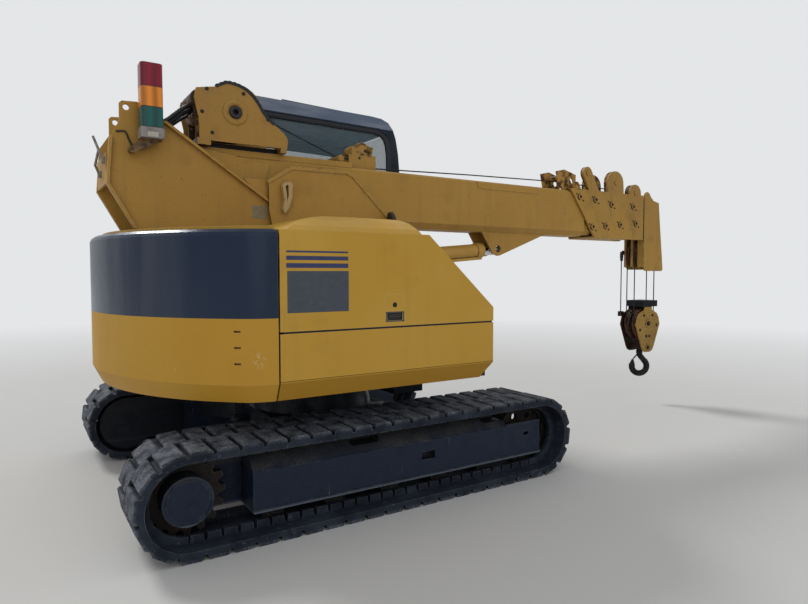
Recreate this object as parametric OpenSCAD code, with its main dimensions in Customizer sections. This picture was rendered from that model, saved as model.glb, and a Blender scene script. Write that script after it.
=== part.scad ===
// Telescopic crawler crane on rubber tracks, boom lowered, +X towards the boom tip,
// +Y towards the cab side, +Z up, origin on the ground under the slewing axis.

/* [Tracks] */
// Width over both tracks
track_over_w = 2320; // [2200:10:2450]
// Width of one rubber track
belt_w = 450; // [400:10:460]
// Height of the track loop over its lugs
track_h = 520; // [500:5:540]
// Distance from sprocket axle to idler axle
wheelbase = 2235; // [2150:5:2300]
// Place of the sprocket axle behind the slewing axis
sprocket_back = 1120; // [1080:5:1150]
// Tread lugs in one row of a track
lug_count = 48; // [46:1:50]
// Height of a tread lug
lug_h = 28; // [20:1:32]
// Thickness of the belt under the lugs
belt_t = 24; // [20:1:28]
// Teeth on the drive sprocket
tooth_count = 17; // [15:1:19]
// Bottom rollers on one side
roller_count = 5; // [4:1:6]
// Radius of a bottom roller
roller_r = 62; // [55:1:66]

/* [Undercarriage] */
// Width of a track frame across its beam
frame_w = 290; // [270:5:300]
// Bottom of the track frame over the ground
frame_z0 = 138; // [130:2:150]
// Height of the track frame's upright face
face_h = 208; // [190:2:220]
// Radius of the final drive cover
drive_r = 120; // [110:1:130]
// Radius of the motor ring at the rear of the track frame
motor_ring_r = 181; // [170:1:190]
// Radius of the slewing ring's running circle
slew_r = 372; // [350:2:400]
// Radius of the lashing holes in the car body's lugs
lash_r = 26; // [22:1:30]

/* [Upper body] */
// Tail radius about the slewing axis
tail_r = 1400; // [1380:5:1450]
// Radius of the tail's plan corners
corner_r = 300; // [280:5:320]
// Height of the underside of the covers
cover_z0 = 700; // [690:5:720]
// Height of the covers from their underside to their top
cover_h = 855; // [840:5:900]
// Height of the gap between the hood and the lower panel over the underside
hood_gap_up = 340; // [300:5:380]
// Rear end of the side covers behind the slewing axis, where the counterweight starts
cover_back = 690; // [680:5:700]
// Front end of the right side cover ahead of the slewing axis
cover_x1 = 683; // [650:5:720]
// Thickness of the sheet covers
cover_t = 25; // [15:1:30]
// Width of the seams between covers
seam = 8; // [6:1:12]
// How far the bottom skirt leans in
skirt_in = 45; // [30:5:60]
// Height of the leaning skirt
skirt_h = 92; // [70:2:110]

/* [Boom] */
// Width of the base section
boom_w = 280; // [270:2:300]
// Height of the base section
boom_h = 407; // [400:1:420]
// Space between the covers and the lowered boom
boom_gap = 123; // [115:1:140]
// Plate thickness of the sections
boom_t = 6; // [5:1:8]
// Space between one section and the next
boom_play = 9; // [8:1:10]
// Boom foot pin behind the slewing axis
foot_back = 1100; // [1080:5:1120]
// Height of the boom foot pin over the boom's underside
foot_up = 467; // [455:1:480]
// Travel of each telescoping section
stroke = 2750; // [2500:10:2800]
// Radius of the boom foot pin
foot_pin_r = 32; // [25:1:36]
// Width over the boom head plates
head_w = 320; // [310:2:330]

/* [Luffing cylinder] */
// Radius of the barrel
barrel_r = 56; // [50:1:60]
// Radius of the rod
rod_r = 36; // [30:1:40]
// Place of the barrel's base pin behind the slewing axis
base_pin_back = 400; // [380:5:420]
// Barrel's base pin below the boom's underside
base_pin_down = 313; // [300:1:330]
// Place of the pin under the boom ahead of the slewing axis
boom_pin_x = 1660; // [1640:5:1680]
// Pin under the boom below the boom's underside
boom_pin_down = 137; // [132:1:142]

/* [Winch and hook] */
// Drum axle behind the slewing axis
drum_back = 596; // [580:2:610]
// Height of the drum axle over the boom's top
drum_up = 253; // [245:1:265]
// Radius of the drum barrel
drum_r = 95; // [85:1:110]
// Radius of the drum's end flanges
flange_r = 165; // [155:1:175]
// Sheave radius at the boom head and in the hook block
sheave_r = 165; // [150:1:170]
// Spacing of the two sheaves along their pin
sheave_step = 88; // [84:1:95]
// How far the sheaves and the hook block hang to the right of the boom's middle
reeve_shift = 20; // [0:1:24]
// Place of the sheave pin at the boom head
tip_x = 3665; // [3655:5:3675]
// Sheave pin at the boom head below the boom's underside
tip_down = 133; // [128:1:140]
// Hook block's sheave pin below the boom head's
block_drop = 724; // [700:1:740]
// Turn of the hook about its shank, seen from above
hook_turn = -33; // [-90:1:90]

/* [Cab] */
// Rear of the cab behind the slewing axis
cab_back = 560; // [550:5:570]
// Inner side of the cab
cab_y0 = 272; // [270:2:290]
// Height of the cab from the deck to its rear roof edge
cab_h = 1865; // [1840:5:1900]
// Thickness of the cab's walls and door
cab_t = 40; // [30:1:50]
// Thickness of the window glass
glass_t = 6; // [4:1:8]

/* [Hidden] */
$fn = 48;
run_gap = 0.3;
idler_x = wheelbase - sprocket_back;
axle_z = track_h / 2;
side_y = track_over_w / 2;
track_y = side_y - belt_w / 2;
pitch_r = track_h / 2 - lug_h - belt_t / 2;
inner_r = track_h / 2 - lug_h - belt_t;
wheel_r = inner_r * cos(180 / $fn) - run_gap;
frame_face_y = track_y + frame_w / 2;
frame_in_y = track_y - frame_w / 2;
frame_z1 = frame_z0 + face_h;
deck_t = 40;
deck_top = cover_z0 + deck_t;
slew_z0 = cover_z0 - 140;
cover_x0 = -cover_back;
cover_z1 = cover_z0 + cover_h;
hood_gap_z = cover_z0 + hood_gap_up;
boom_z0 = cover_z1 + boom_gap;
boom_z1 = boom_z0 + boom_h;
boom_mid = boom_z0 + boom_h / 2;
foot_x = -foot_back;
foot_z = boom_z0 + foot_up;
base_pin_x = -base_pin_back;
base_pin_z = boom_z0 - base_pin_down;
boom_pin_z = boom_z0 - boom_pin_down;
drum_x = -drum_back;
drum_z = boom_z1 + drum_up;
tip_z = boom_z0 - tip_down;
block_z = tip_z - block_drop;
post_y0 = boom_w / 2 + 65;
post_y1 = post_y0 + 16;
cab_x0 = -cab_back;
cab_y1 = side_y - 20;
cab_z0 = deck_top + run_gap;
cab_z1 = cab_z0 + cab_h;

yellow = "goldenrod";
navy = "midnightblue";
steel = "slategray";
dark = "dimgray";

// A plate whose outline lies in the XZ plane, from y0 to y1
module plate_xz(y0, y1) {
    translate([0, y1, 0]) rotate([90, 0, 0]) linear_extrude(y1 - y0) children();
}

// The same plate at +Y and at -Y
module both_plates(y0, y1) {
    plate_xz(y0, y1) children();
    plate_xz(-y1, -y0) children();
}

// A body whose outline lies in the YZ plane, from x0 to x1
module bar_yz(x0, x1) {
    translate([x0, 0, 0]) rotate([90, 0, 90]) linear_extrude(x1 - x0) children();
}

// A straight round bar between two points
module round_bar(p, q, r) {
    d = q - p;
    translate(p) rotate([0, acos(d.z / norm(d)), atan2(d.y, d.x)]) cylinder(h = norm(d), r = r);
}

// A round bar through a list of points, with ball joints at its bends
module bent_bar(pts, r) {
    for (i = [0:len(pts) - 2]) round_bar(pts[i], pts[i + 1], r);
    for (i = [1:len(pts) - 2]) translate(pts[i]) sphere(r = r + 0.5, $fn = 24);
}

// A cylinder along Y, from y0 to y1
module pin_y(x, z, r, y0, y1) {
    translate([x, y1, z]) rotate([90, 0, 0]) cylinder(h = y1 - y0, r = r);
}

// A flat slot with round ends, its length along X
module slot_2d(x, z, len, r) {
    translate([x - len / 2 + r, z - r]) square([len - 2 * r, 2 * r]);
    for (s = [-1, 1]) translate([x + s * (len / 2 - r), z]) circle(r = r);
}

// Mirrored copy for the left side, where side is 1; the right side is -1
module on_side(side) {
    if (side > 0) children();
    else mirror([0, 1, 0]) children();
}

// Track loop: a point at path length s along the pitch line, h outside of it
loop_len = 2 * wheelbase + 2 * PI * pitch_r;
function loop_xz(s, h) =
    let (run = wheelbase, arc = PI * pitch_r, r = pitch_r + h)
    s < run ? [-sprocket_back + s, axle_z - r]
    : s < run + arc ? let (a = (s - run) / pitch_r * 180 / PI - 90)
        [idler_x + r * cos(a), axle_z + r * sin(a)]
    : s < 2 * run + arc ? [idler_x - (s - run - arc), axle_z + r]
    : let (a = (s - 2 * run - arc) / pitch_r * 180 / PI + 90)
        [-sprocket_back + r * cos(a), axle_z + r * sin(a)];

// One lug's outline: share of the lug spacing, and height over the pitch line
lug_top = belt_t / 2 + lug_h;
belt_top = belt_t / 2;
lug_edge = belt_top + lug_h * 0.7;
lug_shape = [[0.02, belt_top], [0.05, lug_edge], [0.12, lug_top], [0.80, lug_top], [0.87, lug_edge], [0.90, belt_top]];

module belt_outline(phase) {
    difference() {
        polygon([
            for (i = [0:lug_count - 1], p = lug_shape)
            let (s = (i + phase + p[0]) * loop_len / lug_count)
            loop_xz(s > loop_len ? s - loop_len : s, p[1])
        ]);
        hull() {
            translate([-sprocket_back, axle_z]) circle(r = inner_r);
            translate([idler_x, axle_z]) circle(r = inner_r);
        }
    }
}

// Rubber track: two rows of lugs, one row half a spacing ahead of the other
module track(side) {
    on_side(side) {
        plate_xz(track_y - belt_w / 2, track_y) belt_outline(0);
        plate_xz(track_y, track_y + belt_w / 2) belt_outline(0.5);
    }
}
module track_right() { color(dark) track(-1); }
module track_left() { color(dark) track(1); }

// Drive sprocket: teeth as a polygon around the final drive
sprocket_w = 46;
tooth_h = 34;
tooth_shape = [[-0.36, 1], [-0.16, 0], [0.16, 0], [0.36, 1]];
module sprocket(side) {
    on_side(side) plate_xz(track_y - sprocket_w / 2, track_y + sprocket_w / 2)
        translate([-sprocket_back, axle_z]) difference() {
            polygon([
                for (i = [0:tooth_count - 1], p = tooth_shape)
                let (a = (i + p[0]) * 360 / tooth_count, r = wheel_r - p[1] * tooth_h)
                [r * cos(a), r * sin(a)]
            ]);
            circle(r = drive_r + run_gap);
        }
}
module sprocket_right() { color("saddlebrown") sprocket(-1); }
module sprocket_left() { color("saddlebrown") sprocket(1); }

// Final drive: stepped drum with a ring groove in its outer face
drive_in = 60;
module final_drive(side) {
    cover_y = frame_face_y - 7;
    on_side(side) difference() {
        union() {
            pin_y(-sprocket_back, axle_z, drive_r, track_y - drive_in, cover_y);
            pin_y(-sprocket_back, axle_z, drive_r + 26, track_y - drive_in, track_y - sprocket_w / 2 - run_gap);
        }
        difference() {
            pin_y(-sprocket_back, axle_z, drive_r - 10, cover_y - 4, cover_y + 1);
            pin_y(-sprocket_back, axle_z, drive_r - 18, cover_y - 5, cover_y + 2);
        }
    }
}
module final_drive_right() { color(steel) final_drive(-1); }
module final_drive_left() { color(steel) final_drive(1); }

// Track frame: beam with a sloping top, rear motor ring and front idler arms
frame_x0 = 312 - sprocket_back;
frame_x1 = idler_x - 245;
frame_nose = idler_x + 49;
beam_top = frame_z1 + 94;
beam_slope = 95;
arm_t = 18;
ring_y = track_y - 191;
axle_r = 34;
bay_half = 90;
mid_x = (frame_x0 + frame_x1) / 2;
module track_frame(side) {
    on_side(side) difference() {
        union() {
            bar_yz(frame_x0, frame_x1) polygon([
                [frame_in_y, frame_z0], [frame_face_y, frame_z0], [frame_face_y, frame_z1],
                [frame_face_y - beam_slope, beam_top], [frame_in_y, beam_top]
            ]);
            for (y = [frame_in_y, frame_face_y - arm_t]) plate_xz(y, y + arm_t)
                translate([frame_x1 - 1, frame_z0]) square([frame_nose - frame_x1 + 1, face_h + 12]);
            plate_xz(ring_y, track_y - drive_in - run_gap) union() {
                translate([-sprocket_back, axle_z]) circle(r = motor_ring_r);
                translate([-sprocket_back, frame_z0])
                    square([sprocket_back + frame_x0 + 60, beam_top - frame_z0]);
            }
            pin_y(idler_x, axle_z, axle_r, frame_in_y, frame_face_y - 1);
            // Lip along the bottom of the outer face
            translate([frame_x0, frame_face_y - 1, frame_z0]) cube([frame_nose - frame_x0, 9, 14]);
        }
        // Roller bay, open below
        bar_yz(frame_x0 + 40, frame_x1 - 20) polygon([
            [track_y - bay_half, frame_z0 - 1], [track_y + bay_half, frame_z0 - 1],
            [track_y + bay_half, frame_z0 + 67], [track_y - bay_half, frame_z0 + 67]
        ]);
        // Square hole and grease hole in the outer face, long holes in the slope
        plate_xz(frame_face_y - 30, frame_face_y + 9) {
            translate([mid_x + 175, frame_z0 + 102]) square([98, 46]);
            translate([idler_x - 95, frame_z0 + 132]) square([44, 22]);
        }
        plate_xz(frame_face_y - beam_slope - 50, frame_face_y + 9)
            for (x = [mid_x - 177, frame_x1 - 80]) slot_2d(x, frame_z1 + 61, 190, 24);
    }
}
module track_frame_right() { color(steel) track_frame(-1); }
module track_frame_left() { color(steel) track_frame(1); }

// Idler: rim, web with round windows, hub on the frame's axle
module idler(side) {
    rim = wheel_r - 36;
    window_at = (rim + 62) / 2;
    on_side(side) difference() {
        union() {
            pin_y(idler_x, axle_z, wheel_r, track_y - 45, track_y + 45);
            pin_y(idler_x, axle_z, 62, track_y - 70, track_y + 70);
        }
        pin_y(idler_x, axle_z, axle_r + run_gap, 0, 2 * track_y);
        for (y = [track_y - 46, track_y + 16]) difference() {
            pin_y(idler_x, axle_z, rim, y, y + 30);
            pin_y(idler_x, axle_z, 62, y - 1, y + 31);
        }
        for (a = [0:60:300])
            translate([idler_x + window_at * cos(a), 0, axle_z + window_at * sin(a)])
                pin_y(0, 0, 26, track_y - 60, track_y + 60);
    }
}
module idler_right() { color(steel) idler(-1); }
module idler_left() { color(steel) idler(1); }

// Bottom rollers on their axles in the roller bay
module rollers(side) {
    roller_z = lug_h + belt_t + run_gap + roller_r;
    inset = 130;
    span = frame_x1 - frame_x0 - 2 * inset;
    on_side(side) for (i = [0:roller_count - 1]) {
        x = frame_x0 + inset + span * i / (roller_count - 1);
        for (y = [track_y - 75, track_y + 20]) pin_y(x, roller_z, roller_r, y, y + 55);
        pin_y(x, roller_z, roller_r - 22, track_y - 80, track_y + 80);
        pin_y(x, roller_z, 18, track_y - bay_half + run_gap, track_y + bay_half - run_gap);
    }
}
module rollers_right() { color(dark) rollers(-1); }
module rollers_left() { color(dark) rollers(1); }

// Car body: centre box with four legs to the track frames and four lashing lugs
module car_body() {
    leg_z0 = 250;
    leg_h = 170;
    box = slew_r + 58;
    lash_y = 152;
    join_y = frame_in_y - run_gap;
    color(steel) {
        translate([-box, -box, leg_z0]) cube([2 * box, 2 * box, leg_h]);
        for (sx = [-1, 1], sy = [-1, 1]) translate([0, 0, leg_z0])
            linear_extrude(leg_h) polygon([
                [sx * 300, sy * 300], [sx * 600, sy * join_y], [sx * 330, sy * join_y], [sx * 150, sy * (box - 10)]
            ]);
        translate([0, 0, leg_z0 + leg_h - 1])
            cylinder(h = slew_z0 - leg_z0 - leg_h + 1, r1 = slew_r + 40, r2 = slew_r + 10);
        for (sx = [-1, 1], sy = [-1, 1]) translate([0, sy * lash_y, leg_z0 + 73]) linear_extrude(24) difference() {
            union() {
                translate([sx * (box + 30) - 35, -56]) square([70, 112]);
                translate([sx * (box + 65), 0]) circle(r = 56);
            }
            translate([sx * (box + 70), 0]) circle(r = lash_r);
        }
    }
}

// Slewing ring: the inner race stays with the tracks, the outer race turns
module slew_inner_ring() {
    color(dark) translate([0, 0, slew_z0]) difference() {
        cylinder(h = 90, r = slew_r);
        translate([0, 0, -1]) cylinder(h = 92, r = slew_r - 72);
    }
}
module slew_outer_ring() {
    h = cover_z0 - slew_z0 - 30;
    color(dark) translate([0, 0, slew_z0 + 30]) difference() {
        cylinder(h = h, r = slew_r + 76);
        translate([0, 0, -1]) cylinder(h = h + 2, r = slew_r + run_gap);
    }
}

// A hinge knuckle along Z with a leaf to one side of its axis
module knuckle(len, r, leaf_side, leaf) {
    cylinder(h = len, r = r);
    translate([leaf_side > 0 ? 1 : -leaf, -r - 3, 0]) cube([leaf - 1, 6, len]);
}
hood_hinge_up = 10;
hood_hinges = [-520, -120];

// Deck plate of the upper body, set in from the covers
deck_y = side_y - skirt_in - cover_t - run_gap;
tail_x = 350 - tail_r;
tail_y = side_y - 460;
deck_front = cover_x1 + 217;
deck_right = cover_x1 - 5;
hood_in_y = post_y1 + 79;
slant_x = cover_x1 - 479;
slant_z = cover_z1 - 424;
module revolving_frame() {
    color(steel) {
        translate([cover_x0 + 10, -deck_y, cover_z0]) cube([deck_right - cover_x0 - 10, 2 * deck_y, deck_t]);
        // The deck reaches further ahead on the cab's side only
        translate([deck_right - 1, guard_y0 - 20, cover_z0])
            cube([deck_front - deck_right + 1, deck_y + 20 - guard_y0, deck_t]);
        translate([tail_x, -tail_y, cover_z0]) cube([20 + cover_x0 - tail_x, 2 * tail_y, deck_t]);
        for (s = [-1, 1]) translate([-230, s * (post_y0 - 20) - 14, deck_top - 1])
            cube([deck_front - 50 + 230, 28, 180]);
        // Bulkhead between the boom bay and the right hood, which is hinged on its top edge
        translate([cover_x0 + 10, -hood_in_y + run_gap, deck_top - 1])
            cube([slant_x - cover_x0 - 10, 22, cover_h - deck_t + 1]);
        for (x = hood_hinges) translate([x + 52, -hood_in_y, cover_z1 + hood_hinge_up])
            rotate([90, 0, 90]) knuckle(50, hood_hinge_up - 2, 1, 20);
        // Valve box under the deck, ahead of the slewing ring
        translate([310, -600, cover_z0 - 160]) cube([230, 180, 161]);
    }
}

// Slab of the tail between two heights, its outline drawn in by in0 below and in1 above
module tail_slab(z0, z1, in0, in1) {
    edge_y = side_y - corner_r * 0.23;
    translate([0, 0, z0]) {
        intersection() {
            cylinder(h = z1 - z0, r1 = tail_r - in0, r2 = tail_r - in1, $fn = 96);
            translate([-tail_r, -edge_y, 0]) cube([tail_r, 2 * edge_y, z1 - z0]);
        }
        for (s = [-1, 1]) translate([cover_x0, s * (side_y - corner_r), 0])
            cylinder(h = z1 - z0, r1 = corner_r - in0, r2 = corner_r - in1);
    }
}

// Counterweight: one casting behind the covers, with a slot for the boom post
post_slot = post_y1 + 60;
module counterweight() {
    color(yellow) difference() {
        union() {
            tail_slab(cover_z0, cover_z0 + skirt_h, skirt_in, 0);
            tail_slab(cover_z0 + skirt_h - 1, cover_z1 - 30, 0, 0);
            tail_slab(cover_z1 - 31, cover_z1 - 14, 0, 8);
            tail_slab(cover_z1 - 15, cover_z1, 8, 26);
        }
        translate([cover_x0 - seam, -side_y - 10, 0]) cube([2000, 2 * side_y + 20, cover_z1 + 10]);
        translate([0, 0, deck_top + run_gap]) cylinder(h = cover_h, r = tail_r - 270);
        translate([tail_x - run_gap, -tail_y - run_gap, 0])
            cube([tail_r, 2 * (tail_y + run_gap), deck_top + run_gap]);
        translate([125 - tail_r, -post_slot, cover_z1 - 255]) cube([600, 2 * post_slot, 300]);
        // Three small slots in the right corner
        for (k = [-1, 0, 1])
            translate([cover_x0 - 192, corner_r - side_y - 230, cover_z0 + 277 + 79 * k])
                rotate([0, 0, 50]) cube([30, 34, 9], center = true);
    }
}

// Top cover behind the cab and around the post, with a louvred cooler inlet on the left
module rear_deck() {
    t = 18;
    color(yellow) difference() {
        translate([0, 0, run_gap]) intersection() {
            tail_slab(cover_z1, cover_z1 + t, 70, 70);
            translate([-tail_r, -side_y, 0]) cube([tail_r + cover_x0 + 120, 2 * side_y, cover_z1 + 100]);
        }
        translate([125 - tail_r, -post_slot, 0]) cube([tail_r, 2 * post_slot, cover_z1 + 100]);
        translate([cover_x0 - 2, -side_y, 0]) cube([400, side_y, cover_z1 + 100]);
        for (i = [0:8]) translate([-1030 + 38 * i, post_slot + 60, cover_z1 - 1]) cube([16, 380, t + 10]);
    }
}

// Right hood: side wall, top with its raised dome and slanted front, hinged near the post
dome_side = [
    [-640, -60], [-640, 2], [-600, 27], [-520, 62], [-430, 86], [-320, 100], [-200, 106],
    [110, 106], [146, 98], [166, 76], [184, 2], [184, -60]
];
dome_end = [
    [1120, -60], [1120, 0], [1085, 30], [1010, 70], [930, 96], [850, 106],
    [480, 106], [448, 98], [424, 74], [402, 0], [402, -60]
];
module dome(inset) {
    intersection() {
        plate_xz(-side_y, -hood_in_y) translate([0, cover_z1]) offset(delta = -inset) polygon(dome_side);
        bar_yz(cover_x0, slant_x) translate([0, cover_z1]) offset(delta = -inset)
            polygon([for (p = dome_end) [-p[0] * side_y / 1160, p[1]]]);
    }
}
module hood_right() {
    y_out = -side_y;
    latch_x = cover_x1 - 710;
    color(yellow) {
        difference() {
            union() {
                plate_xz(y_out, -hood_in_y) polygon([
                    [cover_x0 + 1, hood_gap_z + seam], [cover_x1, hood_gap_z + seam], [cover_x1, slant_z],
                    [slant_x, cover_z1], [cover_x0 + 1, cover_z1]
                ]);
                dome(0);
            }
            plate_xz(y_out + cover_t, 0) polygon([
                [cover_x0 + cover_t, 0], [cover_x1 - cover_t, 0], [cover_x1 - cover_t, slant_z - 10],
                [slant_x - 10, cover_z1 - cover_t], [cover_x0 + cover_t, cover_z1 - cover_t]
            ]);
            dome(18);
            // Sunk handle
            translate([latch_x - 48, y_out - 1, hood_gap_z + 40]) cube([96, 13, 42]);
        }
        translate([latch_x - 40, y_out + 1, hood_gap_z + 58]) cube([80, cover_t - 8, 12]);
        translate([latch_x, y_out + 5, hood_gap_z + 125]) rotate([90, 0, 0]) cylinder(h = 6, r = 14);
        for (x = hood_hinges) translate([x, -hood_in_y, cover_z1 + hood_hinge_up])
            rotate([90, 0, 90]) knuckle(50, hood_hinge_up - 2, -1, 40);
    }
}

// Lower side panel and its skirt; the right one is cut off below at its front
module side_panel(x0, x1) {
    bar_yz(x0, x1) polygon([
        [side_y - skirt_in - cover_t, cover_z0], [side_y - skirt_in, cover_z0], [side_y, cover_z0 + skirt_h],
        [side_y, hood_gap_z - 2], [side_y - cover_t, hood_gap_z - 2], [side_y - cover_t, cover_z0 + skirt_h + 5]
    ]);
}
module lower_panel_right() {
    color(yellow) {
        difference() {
            mirror([0, 1, 0]) side_panel(cover_x0 + 1, cover_x1);
            plate_xz(-side_y - 1, 0) polygon([
                [cover_x1 + 1, cover_z0 + skirt_h + 5], [cover_x1 - 70, cover_z0 - 1], [cover_x1 + 1, cover_z0 - 1]
            ]);
        }
        translate([cover_x1 - cover_t, -side_y + cover_t - 1, cover_z0 + skirt_h])
            cube([cover_t, side_y - cover_t - hood_in_y, hood_gap_up - 2 - skirt_h]);
    }
}
module cover_left() {
    sill = 36;
    rear_x1 = cab_x0 - seam;
    color(yellow) {
        side_panel(cover_x0 + 1, rear_x1);
        translate([cover_x0 + 1, side_y - cover_t, hood_gap_z - 3])
            cube([rear_x1 - cover_x0 - 1, cover_t, cover_z1 - hood_gap_z + 3]);
        bar_yz(rear_x1 - 1, deck_front - 5) polygon([
            [side_y - skirt_in - cover_t, cover_z0], [side_y - skirt_in, cover_z0],
            [side_y, cover_z0 + sill], [side_y - cover_t, cover_z0 + sill]
        ]);
    }
}

// Engine and pumps as one plain block
module engine_block() {
    color(dark) translate([-560, 120 - side_y, deck_top + run_gap])
        cube([860, side_y - 560, cover_h - 215]);
}

// Boom post: two plates with lifting ears, flanges on their edges, cross tubes between them
ear = [foot_x - 127, foot_z + 131];
lug_hole_r = 17;
diag = [[foot_x + 83, foot_z + 77], [foot_x + 762, foot_z - 380]];
post_rear = [[foot_x - 99, cover_z1 + 37], [foot_x - 239, foot_z - 305], [foot_x - 218, foot_z - 38]];
post_outline = [
    [foot_x + 70, cab_z0], [foot_x + 70, cover_z1 - 245], post_rear[0], post_rear[1], post_rear[2],
    ear + [-36, -82], ear + [-36, 20], ear + [-22, 33], ear + [60, 38], ear + [72, 26],
    diag[0], diag[1], [foot_x + 850, cover_z1 + 5], [foot_x + 850, cab_z0]
];
module edge_flange(p, q, w) {
    d = (q - p) / norm(q - p);
    polygon([p, q, q + w * [-d.y, d.x], p + w * [-d.y, d.x]]);
}
module boom_post() {
    flange = 26;
    brace_y = post_y0 - run_gap;
    color(yellow) {
        difference() {
            union() {
                both_plates(post_y0, post_y1) polygon(post_outline);
                both_plates(post_y1 - 1, post_y1 + flange) {
                    edge_flange(diag[1], diag[0], 15);
                    edge_flange(post_rear[1], post_rear[0], 15);
                    edge_flange(post_rear[2], post_rear[1], 15);
                }
                // Pin bosses
                both_plates(post_y0, post_y1 + 10) {
                    translate([foot_x, foot_z]) circle(r = foot_pin_r + 16);
                    translate([base_pin_x, base_pin_z]) circle(r = 56);
                }
                // Gusset with two screws where the guard plate joins, on the right
                plate_xz(-post_y1 - 12, -post_y1 + 1) polygon([
                    diag[1] + [-225, 165], diag[1] + [-75, 168], diag[1] + [-60, 0], diag[1] + [-5, -20]
                ]);
            }
            pin_y(foot_x, foot_z, foot_pin_r, -300, 300);
            pin_y(base_pin_x, base_pin_z, 30, -300, 300);
            pin_y(ear.x, ear.y, lug_hole_r, -300, 300);
        }
        // Closing plates behind and below and a cross tube, each a piece of its own between the plates
        translate([post_rear[1].x + 4, -brace_y, post_rear[1].y + 5]) cube([14, 2 * brace_y, 170]);
        translate([foot_x + 70, -brace_y, cab_z0 + 20]) cube([14, 2 * brace_y, cover_h - 315]);
        pin_y(foot_x + 200, base_pin_z - 115, 50, -brace_y, brace_y);
    }
}

// A band of half width w along a list of points in the XZ plane
module edge_band(pts, w) {
    for (i = [0:len(pts) - 2]) hull() for (p = [pts[i], pts[i + 1]]) translate(p) circle(r = w, $fn = 24);
}

// Guard plate beside the boom with a rolled edge
guard_y0 = -post_y1 - 41;
guard_t = 8;
guard_edge = [
    [-406, cover_z1 + 365], [-257, cover_z1 + 461], [142, cover_z1 + 466],
    [190, cover_z1 + 448], [slant_x + 362, cover_z1 + 85], [slant_x + 416, cover_z1 + 5]
];
module guard_plate() {
    color(yellow) {
        plate_xz(guard_y0, guard_y0 + guard_t) polygon(concat(
            [[-250, cover_z0 + 300]], [[-406, cover_z1 + 185]], guard_edge, [[slant_x + 416, cover_z0 + 300]]
        ));
        plate_xz(guard_y0 - 8, guard_y0 + guard_t + 8) edge_band(guard_edge, 8);
        plate_xz(guard_y0 - 4, guard_y0 + guard_t + 4) edge_band(guard_edge, 12);
        plate_xz(guard_y0 + guard_t - 1, -post_y1 - run_gap)
            translate([-330, cover_z0 + 400]) square([60, 500]);
        for (x = [-250, slant_x + 356]) translate([x, guard_y0, cab_z0]) cube([60, guard_t, 300]);
        // Worn guide block near the rear edge
        plate_xz(guard_y0 - 36, guard_y0 + 1) translate(diag[1]) difference() {
            polygon([[8, 130], [20, 152], [62, 158], [76, 145], [74, 60], [50, -10], [24, -46], [12, -20], [22, 40]]);
            polygon([[28, 124], [38, 138], [48, 136], [50, 70], [36, 30], [36, 80]]);
        }
    }
}

// Three-colour signal lamp on a bent arm at the post
lamp_x = ear.x + 116;
lamp_y = -post_y1 - 82;
lamp_w = 118;
lamp_foot = foot_z + 7;
lamp_levels = [[0, 112, "seagreen"], [112, 224, "orange"], [224, 352, "crimson"]];
module lamp_section(w, r) {
    translate([-w / 2 + r, -w / 2]) square([w - 2 * r, w]);
    translate([-w / 2, -w / 2 + r]) square([w, w - 2 * r]);
    for (i = [-1, 1], j = [-1, 1]) translate([i * (w / 2 - r), j * (w / 2 - r)]) circle(r = r);
}
module signal_lamp() {
    foot = lamp_foot;
    color("gray") {
        translate([lamp_x, lamp_y, foot - 60]) linear_extrude(60) lamp_section(lamp_w + 8, 10);
        translate([lamp_x, lamp_y, foot - 1]) linear_extrude(20) lamp_section(lamp_w - 6, 20);
        plate_xz(lamp_y + 2, lamp_y + 22) polygon([
            [lamp_x - 105, foot - 140], [lamp_x - 84, foot - 138], [lamp_x + 20, foot - 80],
            [lamp_x + 60, foot - 59], [lamp_x - 50, foot - 59], [lamp_x - 112, foot - 110]
        ]);
        plate_xz(lamp_y + 12, -post_y1 - run_gap) translate([lamp_x - 95, foot - 118]) circle(r = 17);
    }
    for (l = lamp_levels) color(l[2]) translate([lamp_x, lamp_y, lamp_foot + l[0] - 0.5])
        linear_extrude(l[1] - l[0] + 0.5) lamp_section(lamp_w, 26);
}

// Mirror on a short stem from the guard plate, facing back along the machine
mirror_at = [slant_x + 236, guard_y0 - 90, cover_z1 + 140];
module side_mirror() {
    foot = [slant_x + 296, guard_y0 - run_gap, cover_z1 + 25];
    color(dark) {
        translate(foot) rotate([90, 0, 0]) cylinder(h = 20, r = 16);
        round_bar(foot - [0, 12, 0], mirror_at, 8);
        translate(mirror_at) rotate([0, 78, -13]) cylinder(h = 22, r = 68);
    }
}

// Bent rod bracket on two pads behind the post
module grab_rail() {
    pad = [16, 36, 36];
    x = post_rear[1].x + 4 - run_gap;
    z = post_rear[1].y + 140;
    low = [x - 9, 20, z - 60];
    high = [x - 9, -150, z];
    color("silver") {
        bent_bar([high, [x - 42, -30, z + 148], [x - 14, -20, z + 80], [x - 32, 0, z - 10], low], 7);
        for (p = [low, high]) translate([x - pad.x, p.y - pad.y / 2, p.z - pad.z / 2]) cube(pad);
    }
}

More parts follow.
